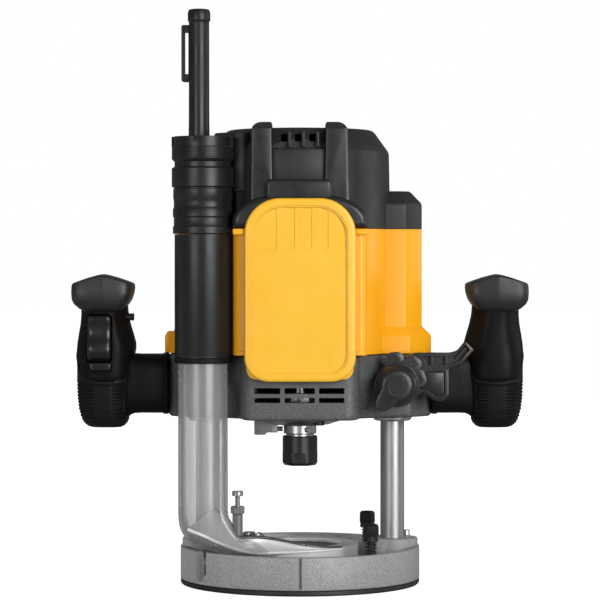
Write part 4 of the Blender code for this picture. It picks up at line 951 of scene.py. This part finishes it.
def build_cap():
    outer = [(0, 320), (49.6, 320), (51.4, 319.4), (53.2, 317.8), (62.2, 305.2), (63.0, 303.0),
             (64, 250.5), (60, 250.5), (58.5, 300), (46.5, 315), (0, 315)]
    cap = revolve("cap", outer, segments=144)
    for side in (-1, 1):
        tower = [(20.5, 250.4), (20.5, 266.8), (20.2, 268.0), (19.4, 269.2), (12.8, 276.2),
                 (11.4, 277.0)]
        join(cap, eight_sided("tower_cap", tower, side * COLUMN_X, 1.8))
    # Shoulder beside the hose adaptor.
    shoulder = [(-60, -24), (-47, -40), (-46, -48.5), (-38, -50.5), (-35, -47), (-35, -20),
                (-60, -20)]
    radii = [3, 3, 3, 3, 3, 0, 0]
    join(cap, prism("shoulder", rounded(inset_outline(shoulder, 0.9), radii, 4), 262, 275.6))
    join(cap, prism("shoulder_top", rounded(shoulder, radii, 4), 275.5, 317.4, "Z", 1.6, 3))
    cap_room = block("cap_room", (-50, -55, 250), (50, 50, 317))
    trim = prism("bridge", rounded([(-23, 270.4), (21.3, 270.4), (21.3, 283.7), (-23, 283.7)],
                                   [0, 0, 3.5, 3.5], 5), 50, 72.6, "-Y", 2.0, 4)
    join(trim, prism("arch", arch(46.8, 250.7, 274.6), 45, 70.4, "-Y", 4.5, 6))
    for corners in ([(-34.0, 262), (-33.4, 323.5), (-19.2, 323.5), (-18.3, 262)],
                    [(34.2, 262), (32.7, 323.5), (17.6, 323.5), (16.6, 262)]):
        post = prism("post", rounded(corners, [0, 7.5, 1.6, 0], 6), 24, 67.3, "-Y", 1.2, 3)
        slope = prism("slope", [(-75, 315), (-67.3, 318.6), (-57, 324.0), (-57, 335), (-75, 335)],
                      -50, 50, "X")
        cut(post, slope, block("post_room", (-50, -55, 250), (50, 50, 317)))
        join(trim, post)
    cut(trim, cap_room, block("trim_room", (-45, -62, 240), (45, 0, 270)))
    show(trim, TRIM_BLACK, "head", "black_nylon", angle=30)
    join(cap, revolve("cord_boss", [(0, 283), (10.4, 283), (11.2, 282), (11.4, 262), (0, 262)],
                      CORD, segments=48))
    join(cap, pole("bearing_boss", 17, 317, 258, segments=40))
    join(cap, prism("arch_backing", arch(44.0, 250.7, 272.0), 45, 64.0, "-Y"))
    join(cap, block("vent_plate", (-19, -63.5, 283), (19, -50, 304.7), 0.8))
    cut(cap, pole("bearing_room", 13.3, 272.5, 250, segments=36))
    for side in (-1, 1):
        cut(cap, pole("spring_room", 12.5, 263, 240, (side * COLUMN_X, 0, 0), segments=36))
    # Vents between the two posts: a sunk band with fins, and three openings right through.
    cut(cap, block("vent_band", (-18.3, -90, 305.4), (16.6, -57.5, 317.4)))
    for x in (-10.8, -1.3, 8.6):
        cut(cap, block("air_slot", (x - 2.2, -62, 310.0), (x + 2.2, -44, 315.3)))
        fin = prism("fin", [(x + 2.6, 306.0), (x + 4.6, 306.0), (x + 4.6, 316.8), (x + 2.6, 316.8)],
                    50, 62.3, "-Y", 0.35)
        join(cap, fin)
    for i in range(4):
        x = -32.0 + 10.0 * i
        slot = prism("rear_slot", rounded(rectangle(x - 1.8, 266, x + 1.8, 292), 1.7, 4), -80,
                     -40, "-Y")
        cut(cap, slot)
    cut(cap, block("dial_slot", (21.4, 42, 273), (28.6, 80, 297), 0.8))
    cut(cap, pole("guard_room", 8.1, 300, 266, CORD, segments=36))
    cut(cap, pole("cord_room", 4, 17, -17, (-54.5, 0, 271), "X", 24))
    show(cap, NYLON, "head", "black_nylon", "top_cap", angle=28)


def cover_outline(inset):
    corners = rectangle(-38.2 + inset, 145.3 + inset, 38.2 - inset, 271 - inset)
    return rounded(corners, [17 - inset * 0.8] * 2 + [25 - inset * 0.8] * 2, 12)


def build_cover():
    cover = prism("cover", cover_outline(0), 67.8, 73.0, "-Y", 2.2, 5)
    chin = rounded(rectangle(-36.7, 146.8, 36.7, 162.5), [13, 13, 0, 0], 8)
    join(cover, prism("chin", chin, 63.8, 69.4, "-Y"))
    field = prism("field", cover_outline(5.4), 71.4, 80, "-Y")
    cut(cover, field)
    cut(cover, prism("inside", cover_outline(4.0), 50, 69.0, "-Y"))
    # Shallow strips over the upper part of the field, stepped against each other.
    edges = (-27.2, -16.1, -9.4, -3.6, 2.2, 8.0, 13.9, 19.2, 25.4, 33.0)
    for k in range(0, len(edges) - 1, 2):
        strip = prism("strip", rectangle(edges[k], 236.0, edges[k + 1], 272), 71.05, 80, "-Y")
        keep = prism("keep", cover_outline(6.9), 60, 90, "-Y")
        combine(strip, "INTERSECT", keep)
        cut(cover, strip)
    rim = prism("field_rim", cover_outline(5.0), 69.4, 72.4, "-Y", 0.6, 3)
    cut(rim, prism("field_hole", cover_outline(6.4), 60, 80, "-Y"))
    join(cover, rim)
    show(cover, COVER, "head", "yellow_shell", "front_cover", angle=28)


def build_ledges():
    """The housing's lips above the front cover's upper corners."""
    for side in (-1, 1):
        x0, x1 = sorted((side * 38.0, side * 46.0))
        ledge = prism("cover_ledge", rounded(rectangle(x0, 245.9, x1, 250.0), 0.8, 3), 62, 69.4,
                      "-Y", 0.7)
        show(ledge, YELLOW, "head", "yellow_shell")


# ---------------------------------------------------------------- handles

# height, inner x, outer x, half depth, how oblong the section is
HANDLE = ((109.8, 129.4, 144.6, 6.0, 0.0), (110.2, 126.6, 147.9, 9.5, 0.0),
          (111.2, 124.4, 150.6, 13.0, 0.0), (113.6, 122.2, 153.2, 16.0, 0.0),
          (117.4, 120.7, 155.3, 18.3, 0.0), (123.6, 119.5, 156.9, 20.0, 0.0),
          (132.0, 119.0, 157.7, 21.2, 0.0), (142.0, 118.6, 158.0, 22.0, 0.0),
          (152.0, 118.3, 157.8, 22.2, 0.3), (160.0, 117.2, 158.1, 21.8, 0.5),
          (166.0, 116.2, 158.0, 21.2, 0.7), (170.0, 116.3, 157.6, 20.8, 0.8),
          (176.0, 117.9, 156.7, 20.0, 0.9), (183.0, 120.0, 155.5, 19.4, 1.0),
          (190.0, 121.5, 154.9, 19.4, 1.0), (196.0, 122.0, 155.0, 19.6, 1.0))


def handle_point(z, angle, shrink=0.0):
    """A place on the right-hand grip's skin, as (distance from the centre plane, y)."""
    for low, high in zip(HANDLE, HANDLE[1:]):
        if z <= high[0]:
            break
    share = limit((z - low[0]) / (high[0] - low[0]))
    inner, outer, deep, edge = (low[k] + (high[k] - low[k]) * share for k in range(1, 5))
    c, s = math.cos(angle), math.sin(angle)
    # An edge of 0 gives a soft oval, an edge of 1 an oblong with chamfered corners.
    power = 2.5 + 1.5 * edge
    oval = (abs(c) ** power + abs(s) ** power) ** (1 / power)
    chamfer = (abs(c) + abs(s)) / (1.75 - 0.32 * edge)
    reach = (oval ** 14 + chamfer ** 14) ** (-1 / 14)
    wide = (outer - inner) / 2 - shrink
    return ((inner + outer) / 2 + c * reach * wide, s * reach * (deep - shrink))


def grip_edge(angle):
    """Height of the grip's upper edge: level across the front and back, swept up at the sides."""
    side = limit((abs(math.cos(angle)) - 0.72) / 0.28)
    return 143.6 + 21.0 * side ** 0.8


def handle_skin(name, z_low, z_high, side, shrink, ribs=False, count=96, step=1.0):
    """A solid with the handle's outline, or the grip's ribbed skin."""
    rings = []
    layers = max(int((z_high - z_low) / step), 2)
    for k in range(layers + 1):
        ring = []
        for angle in angles(count):
            z = z_low + (z_high - z_low) * k / layers
            extra = 0.0
            if ribs:
                z = z_low + (grip_edge(angle) - 0.7 - z_low) * k / layers
                extra = rib_depth(z, angle) + bead_depth(grip_edge(angle) - z)
            x, y = handle_point(z, angle, shrink + extra)
            ring.append((side * x, y, z))
        rings.append(ring)
    return loft(name, rings)


def rib_depth(z, angle):
    """Depth of the grooves on both sides of the smooth band down the grip's front and back."""
    flank = limit((abs(math.cos(angle)) - 0.3) / 0.06)
    fade = limit(min(z - 116.2, 142.4 - z) / 0.8)
    phase = abs((z - 116.2) / 2.38 % 1.0 - 0.5)
    groove = limit((0.26 - phase) / 0.1)
    return 0.85 * flank * fade * groove


def bead_depth(below):
    """The grip's upper edge is a bead with a groove under it."""
    if below < 3.2:
        return -0.35 * math.sin(math.pi * min(below / 3.2, 1.0))
    if below < 4.6:
        return 0.55 * math.sin(math.pi * (below - 3.2) / 1.4)
    return 0.0


def head_cap(side):
    """The crowned head of a handle: a ridge runs down its front and across its top."""
    # height, inner x, outer x, front y, back y, how far the crown lifts this ring
    layers = ((191.4, 129.0, 148.5, -17.0, 15.0, 0.0), (192.4, 126.4, 152.0, -20.5, 17.5, 0.0),
              (194.4, 124.2, 155.6, -23.6, 19.5, 0.0), (197.4, 121.6, 159.0, -25.8, 20.8, 0.0),
              (200.5, 119.6, 160.6, -27.0, 21.4, 0.0), (205.0, 118.1, 161.0, -27.4, 21.8, 0.35),
              (209.0, 117.6, 160.9, -26.8, 21.8, 0.75), (211.0, 117.8, 160.7, -26.2, 21.6, 0.97),
              (211.7, 118.6, 159.9, -25.2, 20.8, 1.0), (211.9, 121.5, 157.0, -22.0, 17.8, 1.0),
              (212.3, 128.0, 150.5, -14.0, 11.0, 1.0), (212.6, 134.5, 144.0, -6.0, 4.5, 1.0))
    rings = []
    for z, inner, outer, front, back, lift in layers:
        middle, wide = (inner + outer) / 2, (outer - inner) / 2
        ring = []
        for angle in angles(96):
            c, s = math.cos(angle), math.sin(angle)
            reach = (abs(c) ** 8 + abs(s) ** 8) ** -0.125
            u, v = c * reach, s * reach
            x = middle + wide * u
            off = abs(x - 139.3) / 21.7
            y = back * v if v > 0 else -front * v * (1 - 0.08 * off)
            ring.append((side * x, y, z + lift * 5.9 * (1 - off ** 1.3)))
        rings.append(ring)
    return loft("head", rings)


def arm_ring(x, deep, high, power):
    """A squared-off ring around the arm's axis."""
    return [(x, swell(math.cos(a), power) * deep, ARM_Z + swell(math.sin(a), power) * high)
            for a in angles(72)]


def build_handle(name, side):
    core = handle_skin(name + "_body", 112.5, GRIP_TOP, side, 1.4)
    # A shell over the upper half, which ends in a lip around the grip.
    upper = []
    for k in range(46):
        ring = []
        for angle in angles(96):
            low = grip_edge(angle)
            z = low + (GRIP_TOP - low) * k / 45
            x, y = handle_point(z, angle, {0: 0.9, 1: 0.3}.get(k, 0.0))
            ring.append((side * x, y, z))
        upper.append(ring)
    join(core, loft("upper", upper))
    show(head_cap(side), NYLON, "head", "black_nylon", angle=34)
    # The arm, a rounded bar that runs into the grip behind its front.
    stations = ((93.0, 19.5, 20.9, 0.5), (104.0, 18.0, 20.9, 0.5), (112.0, 15.5, 20.9, 0.5),
                (117.0, 13.6, 21.2, 0.5), (119.5, 13.2, 22.2, 0.55), (121.5, 13.0, 24.0, 0.6),
                (132.0, 10.0, 24.0, 0.9))
    join(core, loft("arm", [arm_ring(side * x, *shape) for x, *shape in stations]))
    join(core, loft("arm_lip", [arm_ring(side * x, 20.4, 21.6, 0.5) for x in (93.2, 96.6)]))
    return core


def build_handles():
    left = build_handle("left_handle", -1)
    pocket = rounded(rectangle(-150.2, 156.4, -131.8, 190.6), [2.5, 2.5, 3.5, 3.5], 5)
    cut(left, prism("pocket", pocket, 9.0, 40, "-Y"))
    cut(left, pole("pin_hole", 3.3, 17, -17, (-117, -7, 188.3), "X", 32))
    chin = rounded([(-148.4, 155.4), (-131.8, 155.4), (-132.4, 151.0), (-137.2, 148.4),
                    (-143.2, 148.4), (-147.8, 151.0)], 1.2, 4)
    cut(left, prism("chin_pocket", chin, 19.4, 40, "-Y"))
    show(left, BODY_BLACK, "head", "black_nylon", "left_handle", angle=30)
    show(build_handle("right_handle", 1), BODY_BLACK, "head", "black_nylon", "right_handle",
         angle=30)


def build_grips():
    for name, side in (("left_grip", -1), ("right_grip", 1)):
        cover = handle_skin(name + "_skin", 110.2, 150.0, side, 0.0, True, 128, 0.42)
        cut(cover, handle_skin("hollow", 112.9, 175.0, side, 1.2))
        arm = rounded(rectangle(-13.6, 118.6, 13.6, 163.8), 7.0, 6)
        hole = prism("arm_hole", arm, *sorted((side * 80, side * 131)), "X")
        cut(cover, hole)
        show(cover, GRIP_BLACK, "head", "black_rubber", name, angle=50)


def build_trigger():
    """An S-shaped paddle, hinged at its foot over a small latch."""
    # height, front y, half width
    profile = ((157.6, -20.6, 7.4), (158.8, -22.4, 8.2), (161.0, -24.3, 8.5),
               (164.5, -25.4, 8.5), (168.0, -25.0, 8.5), (172.0, -23.4, 8.4),
               (176.0, -22.0, 8.3), (180.0, -21.8, 8.3), (184.0, -22.8, 8.3),
               (187.0, -23.6, 8.2), (188.8, -23.0, 7.8), (189.5, -21.6, 7.0))
    rings = []
    for z, front, half in profile:
        rings.append([(-141 + half * swell(math.cos(a), 0.4),
                       (front - 13.6) / 2 + (front + 13.6) / 2 * swell(math.sin(a), 0.45), z)
                      for a in angles(40)])
    show(loft("trigger_paddle", rings), GLOSS_BLACK, "trigger", "black_nylon", "trigger")
    latch = prism("trigger_latch", rounded(rectangle(-147.4, 151.0, -132.8, 156.2), 1.4, 4),
                  18, 24.4, "-Y", 0.7)
    for z in (152.2, 154.1):
        cut(latch, block("latch_slot", (-144.8, -30, z), (-135.4, -23.6, z + 0.9)))
    show(latch, SATIN_BLACK, "head", "black_nylon")


def build_lock_on_button():
    pin = [(0, 6.2), (2.3, 6.2), (2.6, 5.9), (2.6, 4.6), (2.35, 4.3), (2.35, 3.7), (2.6, 3.4),
           (2.6, -6.2), (0, -6.2)]
    show(revolve("lock_on_pin", pin, (-123.4, -7, 188.3), "X", 32), SATIN_BLACK,
         "lock_on_button", "black_nylon", "lock_on_button")


# ---------------------------------------------------------------- controls

def lever_outline():
    corners = [(60, 150), (70, 160.5), (80, 164.2), (104, 164.2), (109.0, 165.4), (114.8, 172.4),
               (120.9, 166.3), (113.0, 157.2), (106.5, 154.0), (103.4, 153.2), (103.4, 133.8),
               (98.0, 130.4), (92.0, 131.6), (86.0, 136.4), (78, 133.0), (72, 129.5), (60, 133)]
    radii = [6, 6, 4, 6, 6, 1.6, 1.6, 8, 4, 2, 4, 4, 4, 4, 4, 4, 6]
    return rounded(corners, radii, 5)


def about_hub(outline, degrees):
    """An outline drawn around the origin, turned and moved to the lock's hub."""
    turn = Matrix.Rotation(math.radians(degrees), 2)
    return [tuple(turn @ Vector(p) + Vector(HUB)) for p in outline]


def build_lock_lever():
    lever = prism("lock_lever", lever_outline(), 34.6, 41.6, "-Y", 0.8)
    join(lever, revolve("hub", [(0, 42.2), (12.8, 42.2), (13.5, 41.5), (13.5, 34.4), (0, 34.4)],
                        HUB_PLACE, "-Y", 56))
    trough = rounded([(84.4, 162.0), (103.6, 162.0), (107.8, 163.4), (114.6, 169.6),
                      (117.9, 166.3), (111.0, 158.6), (104.0, 155.6), (88.0, 155.6)],
                     [0.6, 5, 5, 0.8, 0.8, 5, 5, 0.6], 4)
    cut(lever, prism("trough", trough, 37.6, 46, "-Y"))
    for x in (91.5, 101.5, 111.8):
        rib = block("rib", (-0.7, -40.9, -4.6), (0.7, -37.2, 4.6))
        turn = Matrix.Rotation(math.radians(42 if x > 105 else 0), 4, "Y")
        z = 164.0 if x > 105 else 158.8
        join(lever, shift(rib, Matrix.Translation((x, 0, z)) @ turn))
    window = rounded([(84.0, 149.2), (89.0, 151.4), (100.8, 151.6), (100.8, 135.4), (97.2, 133.0),
                      (93.0, 134.0), (87.6, 138.6), (82.5, 137.4)], [2, 4, 2, 3, 3, 3, 4, 2], 4)
    cut(lever, prism("window", window, 39.4, 46, "-Y"))
    join(lever, prism("web", inset_outline(window, 0.9), 38.6, 40.3, "-Y", 0.3))
    cut(lever, pole("bore", 3.9, 60, 20, HUB_PLACE, "-Y", 24))
    show(lever, LEVER_BLACK, "plunge_lock", "black_nylon", "plunge_lock_lever")
    bolt = pole("lock_shaft", 3.6, 49, 9.3, HUB_PLACE, "-Y", 28)
    show(bolt, TURNED_STEEL, "plunge_lock", "steel", "lock_bolt")


def build_icon_plate():
    plate = revolve("icon_disc", [(0, 45.2), (15.0, 45.2), (15.5, 44.8), (15.5, 42.6), (0, 42.6)],
                    HUB_PLACE, "-Y", 56)
    for degrees, reach in ((94, 22.8), (53, 23.8), (17, 21.0)):
        lobe = rounded([(-7.4, 0), (7.4, 0), (6.0, reach), (-6.0, reach)], [0, 0, 4.6, 4.6], 6)
        join(plate, prism("lobe", about_hub(lobe, degrees - 90), 42.8, 45.1, "-Y", 0.4))
        x, z = polar(reach - 4.8, degrees, HUB)
        ring = revolve("icon_ring", [(2.1, 45.5), (2.6, 45.5), (2.6, 44.8), (2.1, 44.8)],
                       (x, 0, z), "-Y", 28, closed=True)
        join(plate, ring)
    cut(plate, pole("bore", 3.9, 60, 20, HUB_PLACE, "-Y", 24))
    show(plate, LEVER_BLACK, "head", "black_nylon", "lock_icon_plate")


def build_selector():
    profile = [(0, 55.6), (5.7, 55.6), (5.9, 55.3), (6.2, 55.3), (6.4, 55.6), (9.2, 55.6),
               (10.0, 55.3), (12.6, 53.4), (14.0, 51.2), (14.4, 49.8), (14.4, 46.4),
               (13.9, 45.6), (0, 45.6)]
    knob = revolve("selector", profile, HUB_PLACE, "-Y", 64)
    tab = rounded([(-9.4, 0), (9.4, 0), (6.6, -9.2), (6.3, -12.6), (4.9, -17.8), (1.8, -21.2),
                   (-2.6, -21.2), (-5.4, -17.4), (-6.6, -12.6), (-7.0, -9.2)],
                  [0, 0, 3, 2, 2.5, 1.5, 1.5, 2.5, 2, 3], 4)
    join(knob, prism("pointer", about_hub(tab, 324), 49.2, 55.3, "-Y", 0.7))
    cut(knob, pole("bore", 3.9, 49.6, 40, HUB_PLACE, "-Y", 24))
    show(knob, LEVER_BLACK, "selector", "black_nylon", "selector_knob")


def build_depth_rod():
    rod = [(0, 300), (2.9, 300), (3.5, 299.4), (3.5, 143.1), (2.9, 142.5), (0, 142.5)]
    piece = revolve("scale_rod", rod, (*SCALE_ROD, 0), segments=32)
    for i in range(24):
        z = 170 + 5 * i
        deep = 0.35 if i % 2 else 0.5
        cut(piece, block("tick", (-48, 55 + 3.5 - deep, z - 0.25), (-43.2, 60, z + 0.25)))
    for i in range(40):
        z = 162.6 + 3.2 * i
        cut(piece, block("tooth", (-42.6, 52.5, z - 0.8), (-41, 57.5, z + 0.8)))
    show(piece, TURNED_STEEL, "depth_rod", "steel", "depth_rod")


def build_depth_knob():
    profile = [(0, 81.6), (7.6, 81.6), (8.4, 82), (9.4, 81.2), (10, 80), (10, 68.6), (9.2, 66.8),
               (8.4, 66.4), (3.5, 66.4), (3.5, 47), (0, 47)]
    knob = revolve("depth_adjuster", profile, (PINION[0], 0, PINION[1]), "Y", 60)
    for i in range(20):
        x, z = polar(10.3, 18 * i, PINION)
        cut(knob, pole("flute", 0.95, 81, 67, (x, 0, z), "Y", 10))
    show(knob, NYLON, "depth_knob", "black_nylon", "depth_knob")


def build_depth_clamp():
    screw = [(0, 72), (4.7, 72), (5.5, 71.2), (5.5, 58.6), (4.9, 58), (2.4, 57.4), (2.4, 50),
             (0, 50)]
    clamp = revolve("depth_clamp_screw", screw, (0, 55, 152), "-X", 36)
    wing = prism("wing", rounded([(55 - 1.8, 141), (55 + 1.8, 141), (55 + 1.8, 163),
                                  (55 - 1.8, 163)], 1.2, 4), -71.5, -60.0, "X", 0.9)
    join(clamp, wing)
    show(clamp, NYLON, "depth_clamp", "black_nylon", "depth_clamp_knob")


def build_speed_dial():
    dial = revolve("dial", [(0, 2.8), (10.2, 2.8), (11, 2.2), (11, -2.2), (10.2, -2.8), (0, -2.8)],
                   DIAL, "X", 60)
    for i in range(20):
        y, z = polar(11.2, 9 + 18 * i, DIAL[1:])
        cut(dial, pole("notch", 0.7, 4, -4, (DIAL[0], y, z), "X", 10))
    show(dial, NYLON, "speed_dial", "black_nylon", "speed_dial")


# ---------------------------------------------------------------- spindle

def build_spindle():
    profile = [(0, 272), (5.7, 272), (5.7, 240), (7, 239), (7, 134), (9.7, 133), (9.7, 112.2),
               (11.1, 111.9), (11.7, 111.3), (11.7, 106.0), (11.1, 105.4), (9.8, 105.2),
               (9.8, 95), (8.7, 95), (8.7, 103), (0, 103)]
    shaft = revolve("shaft", profile, segments=72)
    for angle in (180, -65):
        hole = pole("hole", 2.2, 16, 5, (0, 0, 0), "X", 24)
        turn = Matrix.Rotation(math.radians(angle), 4, "Z")
        cut(shaft, shift(hole, Matrix.Translation((0, 0, LOCK_PIN_Z)) @ turn))
    show(shaft, TURNED_STEEL, "spindle", "steel", "spindle_shaft")


def build_collet_nut():
    top = [(8.85, 104), (11.7, 104), (12.4, 103.3), (12.4, 91.9), (12.1, 91.5), (8.85, 91.5)]
    nut = revolve("nut", top, segments=72, closed=True)
    hexed = revolve("nut_hex", [(7.4, 92.2), (13.5, 92.2), (13.5, 84.8), (11.2, 83.0),
                                (7.4, 83.0)], segments=6, closed=True)
    round_limit = revolve("limit", [(0, 92.4), (12.45, 92.4), (12.45, 85.2), (10.9, 82.8),
                                    (0, 82.8)], segments=72)
    combine(hexed, "INTERSECT", round_limit)
    join(nut, hexed)
    show(nut, BLACK_OXIDE, "collet_nut", "black_steel", "collet_nut", angle=24)


def build_spindle_lock():
    side_view = [(-32.4, 105.0), (-24.6, 105.0), (-23.2, 106.6), (-15.8, 106.6), (-15.8, 116.8),
                 (-32.4, 116.8)]
    lock = prism("lock_block", rounded(side_view, [1.2, 0.8, 0.8, 0.8, 0.8, 2.0], 3), -4.0, 10.0,
                 "-Y", 0.7)
    for i in range(5):
        z = 106.8 + 1.7 * i
        cut(lock, block("knurl", (-34, -12, z), (-31.8, 6, z + 0.7)))
    join(lock, pole("pin", 1.8, -12.2, -18, (0, 0, LOCK_PIN_Z), "X", 24))
    show(lock, LOCK_CAST, "spindle_lock", "steel", "spindle_lock_button")


def build_bolts():
    """The screws that show on the cap's top and at the towers' feet."""
    head = [(0, 0.3), (1.9, 0.3), (2.1, 1.5), (3.4, 1.5), (3.9, 1.0), (3.9, -3), (0, -3)]
    for number, x, y in ((1, 30, 20), (2, -30, 20), (3, 0, 40)):
        bolt = revolve(f"cap_bolt_{number}", head, (x, y, 319.8), segments=28)
        show(bolt, BLACK_OXIDE, "head", "black_steel")
    for number, side in ((1, -1), (2, 1)):
        place = (side * COLUMN_X, 26.8, 169.0)
        show(revolve(f"foot_bolt_{number}", head, place, "Y", 28), BLACK_OXIDE, "head",
             "black_steel")


# ---------------------------------------------------------------- carried CAD nodes

def dress(look, *names):
    for name in names:
        for place in nodes[name].material_slots:
            place.material = look


def build_inside():
    dress(IRON, "stator", "armature")
    dress(TURNED_STEEL, "upper_bearing", "lower_bearing", "collet")
    dress(COPPER, "left_brush_holder", "right_brush_holder")
    dress(NYLON, "electronics_module", "fan")


# ---------------------------------------------------------------- studio

def area_light(name, place, target, size, power, glossy=True):
    data = bpy.data.lights.new(name, "AREA")
    data.shape = "RECTANGLE"
    data.size, data.size_y = size
    data.energy = power
    obj = bpy.data.objects.new(name, data)
    obj.visible_glossy = glossy
    obj.location = place
    obj.rotation_euler = (Vector(target) - Vector(place)).to_track_quat("-Z", "Y").to_euler()
    bpy.context.scene.collection.objects.link(obj)


def by_ray(tree, seen, lit):
    """One value for the camera's own rays and another for the light that bounces."""
    path = node_of(tree, "ShaderNodeLightPath")
    made = node_of(tree, "ShaderNodeMix", data_type="RGBA")
    tree.links.new(path.outputs["Is Camera Ray"], made.inputs[0])
    made.inputs[6].default_value = (*lit, 1)
    made.inputs[7].default_value = (*seen, 1)
    return made.outputs[2]


def build_floor():
    """A pale floor that looks white to the camera."""
    floor_mesh = bpy.data.meshes.new("floor")
    bm = bmesh.new()
    bmesh.ops.create_circle(bm, cap_ends=True, segments=96, radius=9.0)
    bm.to_mesh(floor_mesh)
    bm.free()
    floor = bpy.data.objects.new("floor", floor_mesh)
    bpy.context.scene.collection.objects.link(floor)
    pale = bpy.data.materials.new("pale_floor")
    pale.use_nodes = True
    tree = pale.node_tree
    shader = tree.nodes["Principled BSDF"]
    link = tree.links.new
    link(by_ray(tree, (0.2, 0.2, 0.2), (0.3, 0.3, 0.3)), shader.inputs["Base Color"])
    link(by_ray(tree, (1, 1, 1), (0, 0, 0)), shader.inputs["Emission Color"])
    shader.inputs["Emission Strength"].default_value = 0.97
    shader.inputs["Roughness"].default_value = 0.6
    shader.inputs["Specular IOR Level"].default_value = 0.1
    floor.data.materials.append(pale)


def build_lights():
    world = bpy.data.worlds.new("studio")
    bpy.context.scene.world = world
    world.use_nodes = True
    tree = world.node_tree
    background = tree.nodes["Background"]
    tree.links.new(by_ray(tree, (1, 1, 1), (0.16, 0.16, 0.16)), background.inputs["Color"])

    middle = (0, 0, 0.2)
    area_light("key", (1.15, -1.85, 0.62), middle, (1.2, 1.2), 41)
    area_light("fill", (-1.1, -1.75, 0.28), middle, (0.9, 0.9), 11.5)
    area_light("top", (0.0, 0.1, 1.8), middle, (0.9, 0.9), 5, glossy=False)
    area_light("left", (-1.7, 0.2, 0.3), (0, 0, 0.1), (0.4, 0.6), 15, glossy=False)
    area_light("right", (1.7, 0.4, 0.5), middle, (0.4, 1.3), 5)
    area_light("back", (0.3, 2.2, 0.8), middle, (1.2, 1.0), 22, glossy=False)


def build_camera():
    camera = bpy.data.cameras.new("camera")
    camera.sensor_width = 36
    camera.lens = FOCAL_LENGTH
    camera.clip_end = 50
    obj = bpy.data.objects.new("camera", camera)
    obj.location = CAMERA_PLACE
    obj.rotation_euler = (math.radians(90 - CAMERA_DIP), 0, 0)
    bpy.context.scene.collection.objects.link(obj)
    bpy.context.scene.camera = obj
    bpy.context.scene.view_settings.view_transform = "Standard"


for build in (build_base, build_index_pin, build_sole, build_columns, build_fence_clamps,
              build_turret, build_turret_nut, build_turret_pivot, build_hood, build_scoop,
              build_hood_edges, build_sleeve, build_hose_adaptor, build_cord_guard, build_cord,
              build_bracket, build_retainer, build_bushes, build_housing, build_cap, build_cover,
              build_ledges, build_handles, build_grips, build_trigger, build_lock_on_button,
              build_lock_lever, build_icon_plate, build_selector, build_depth_rod,
              build_depth_knob, build_depth_clamp, build_speed_dial, build_spindle,
              build_collet_nut, build_spindle_lock, build_bolts, build_inside, build_floor,
              build_lights, build_camera):
    build()
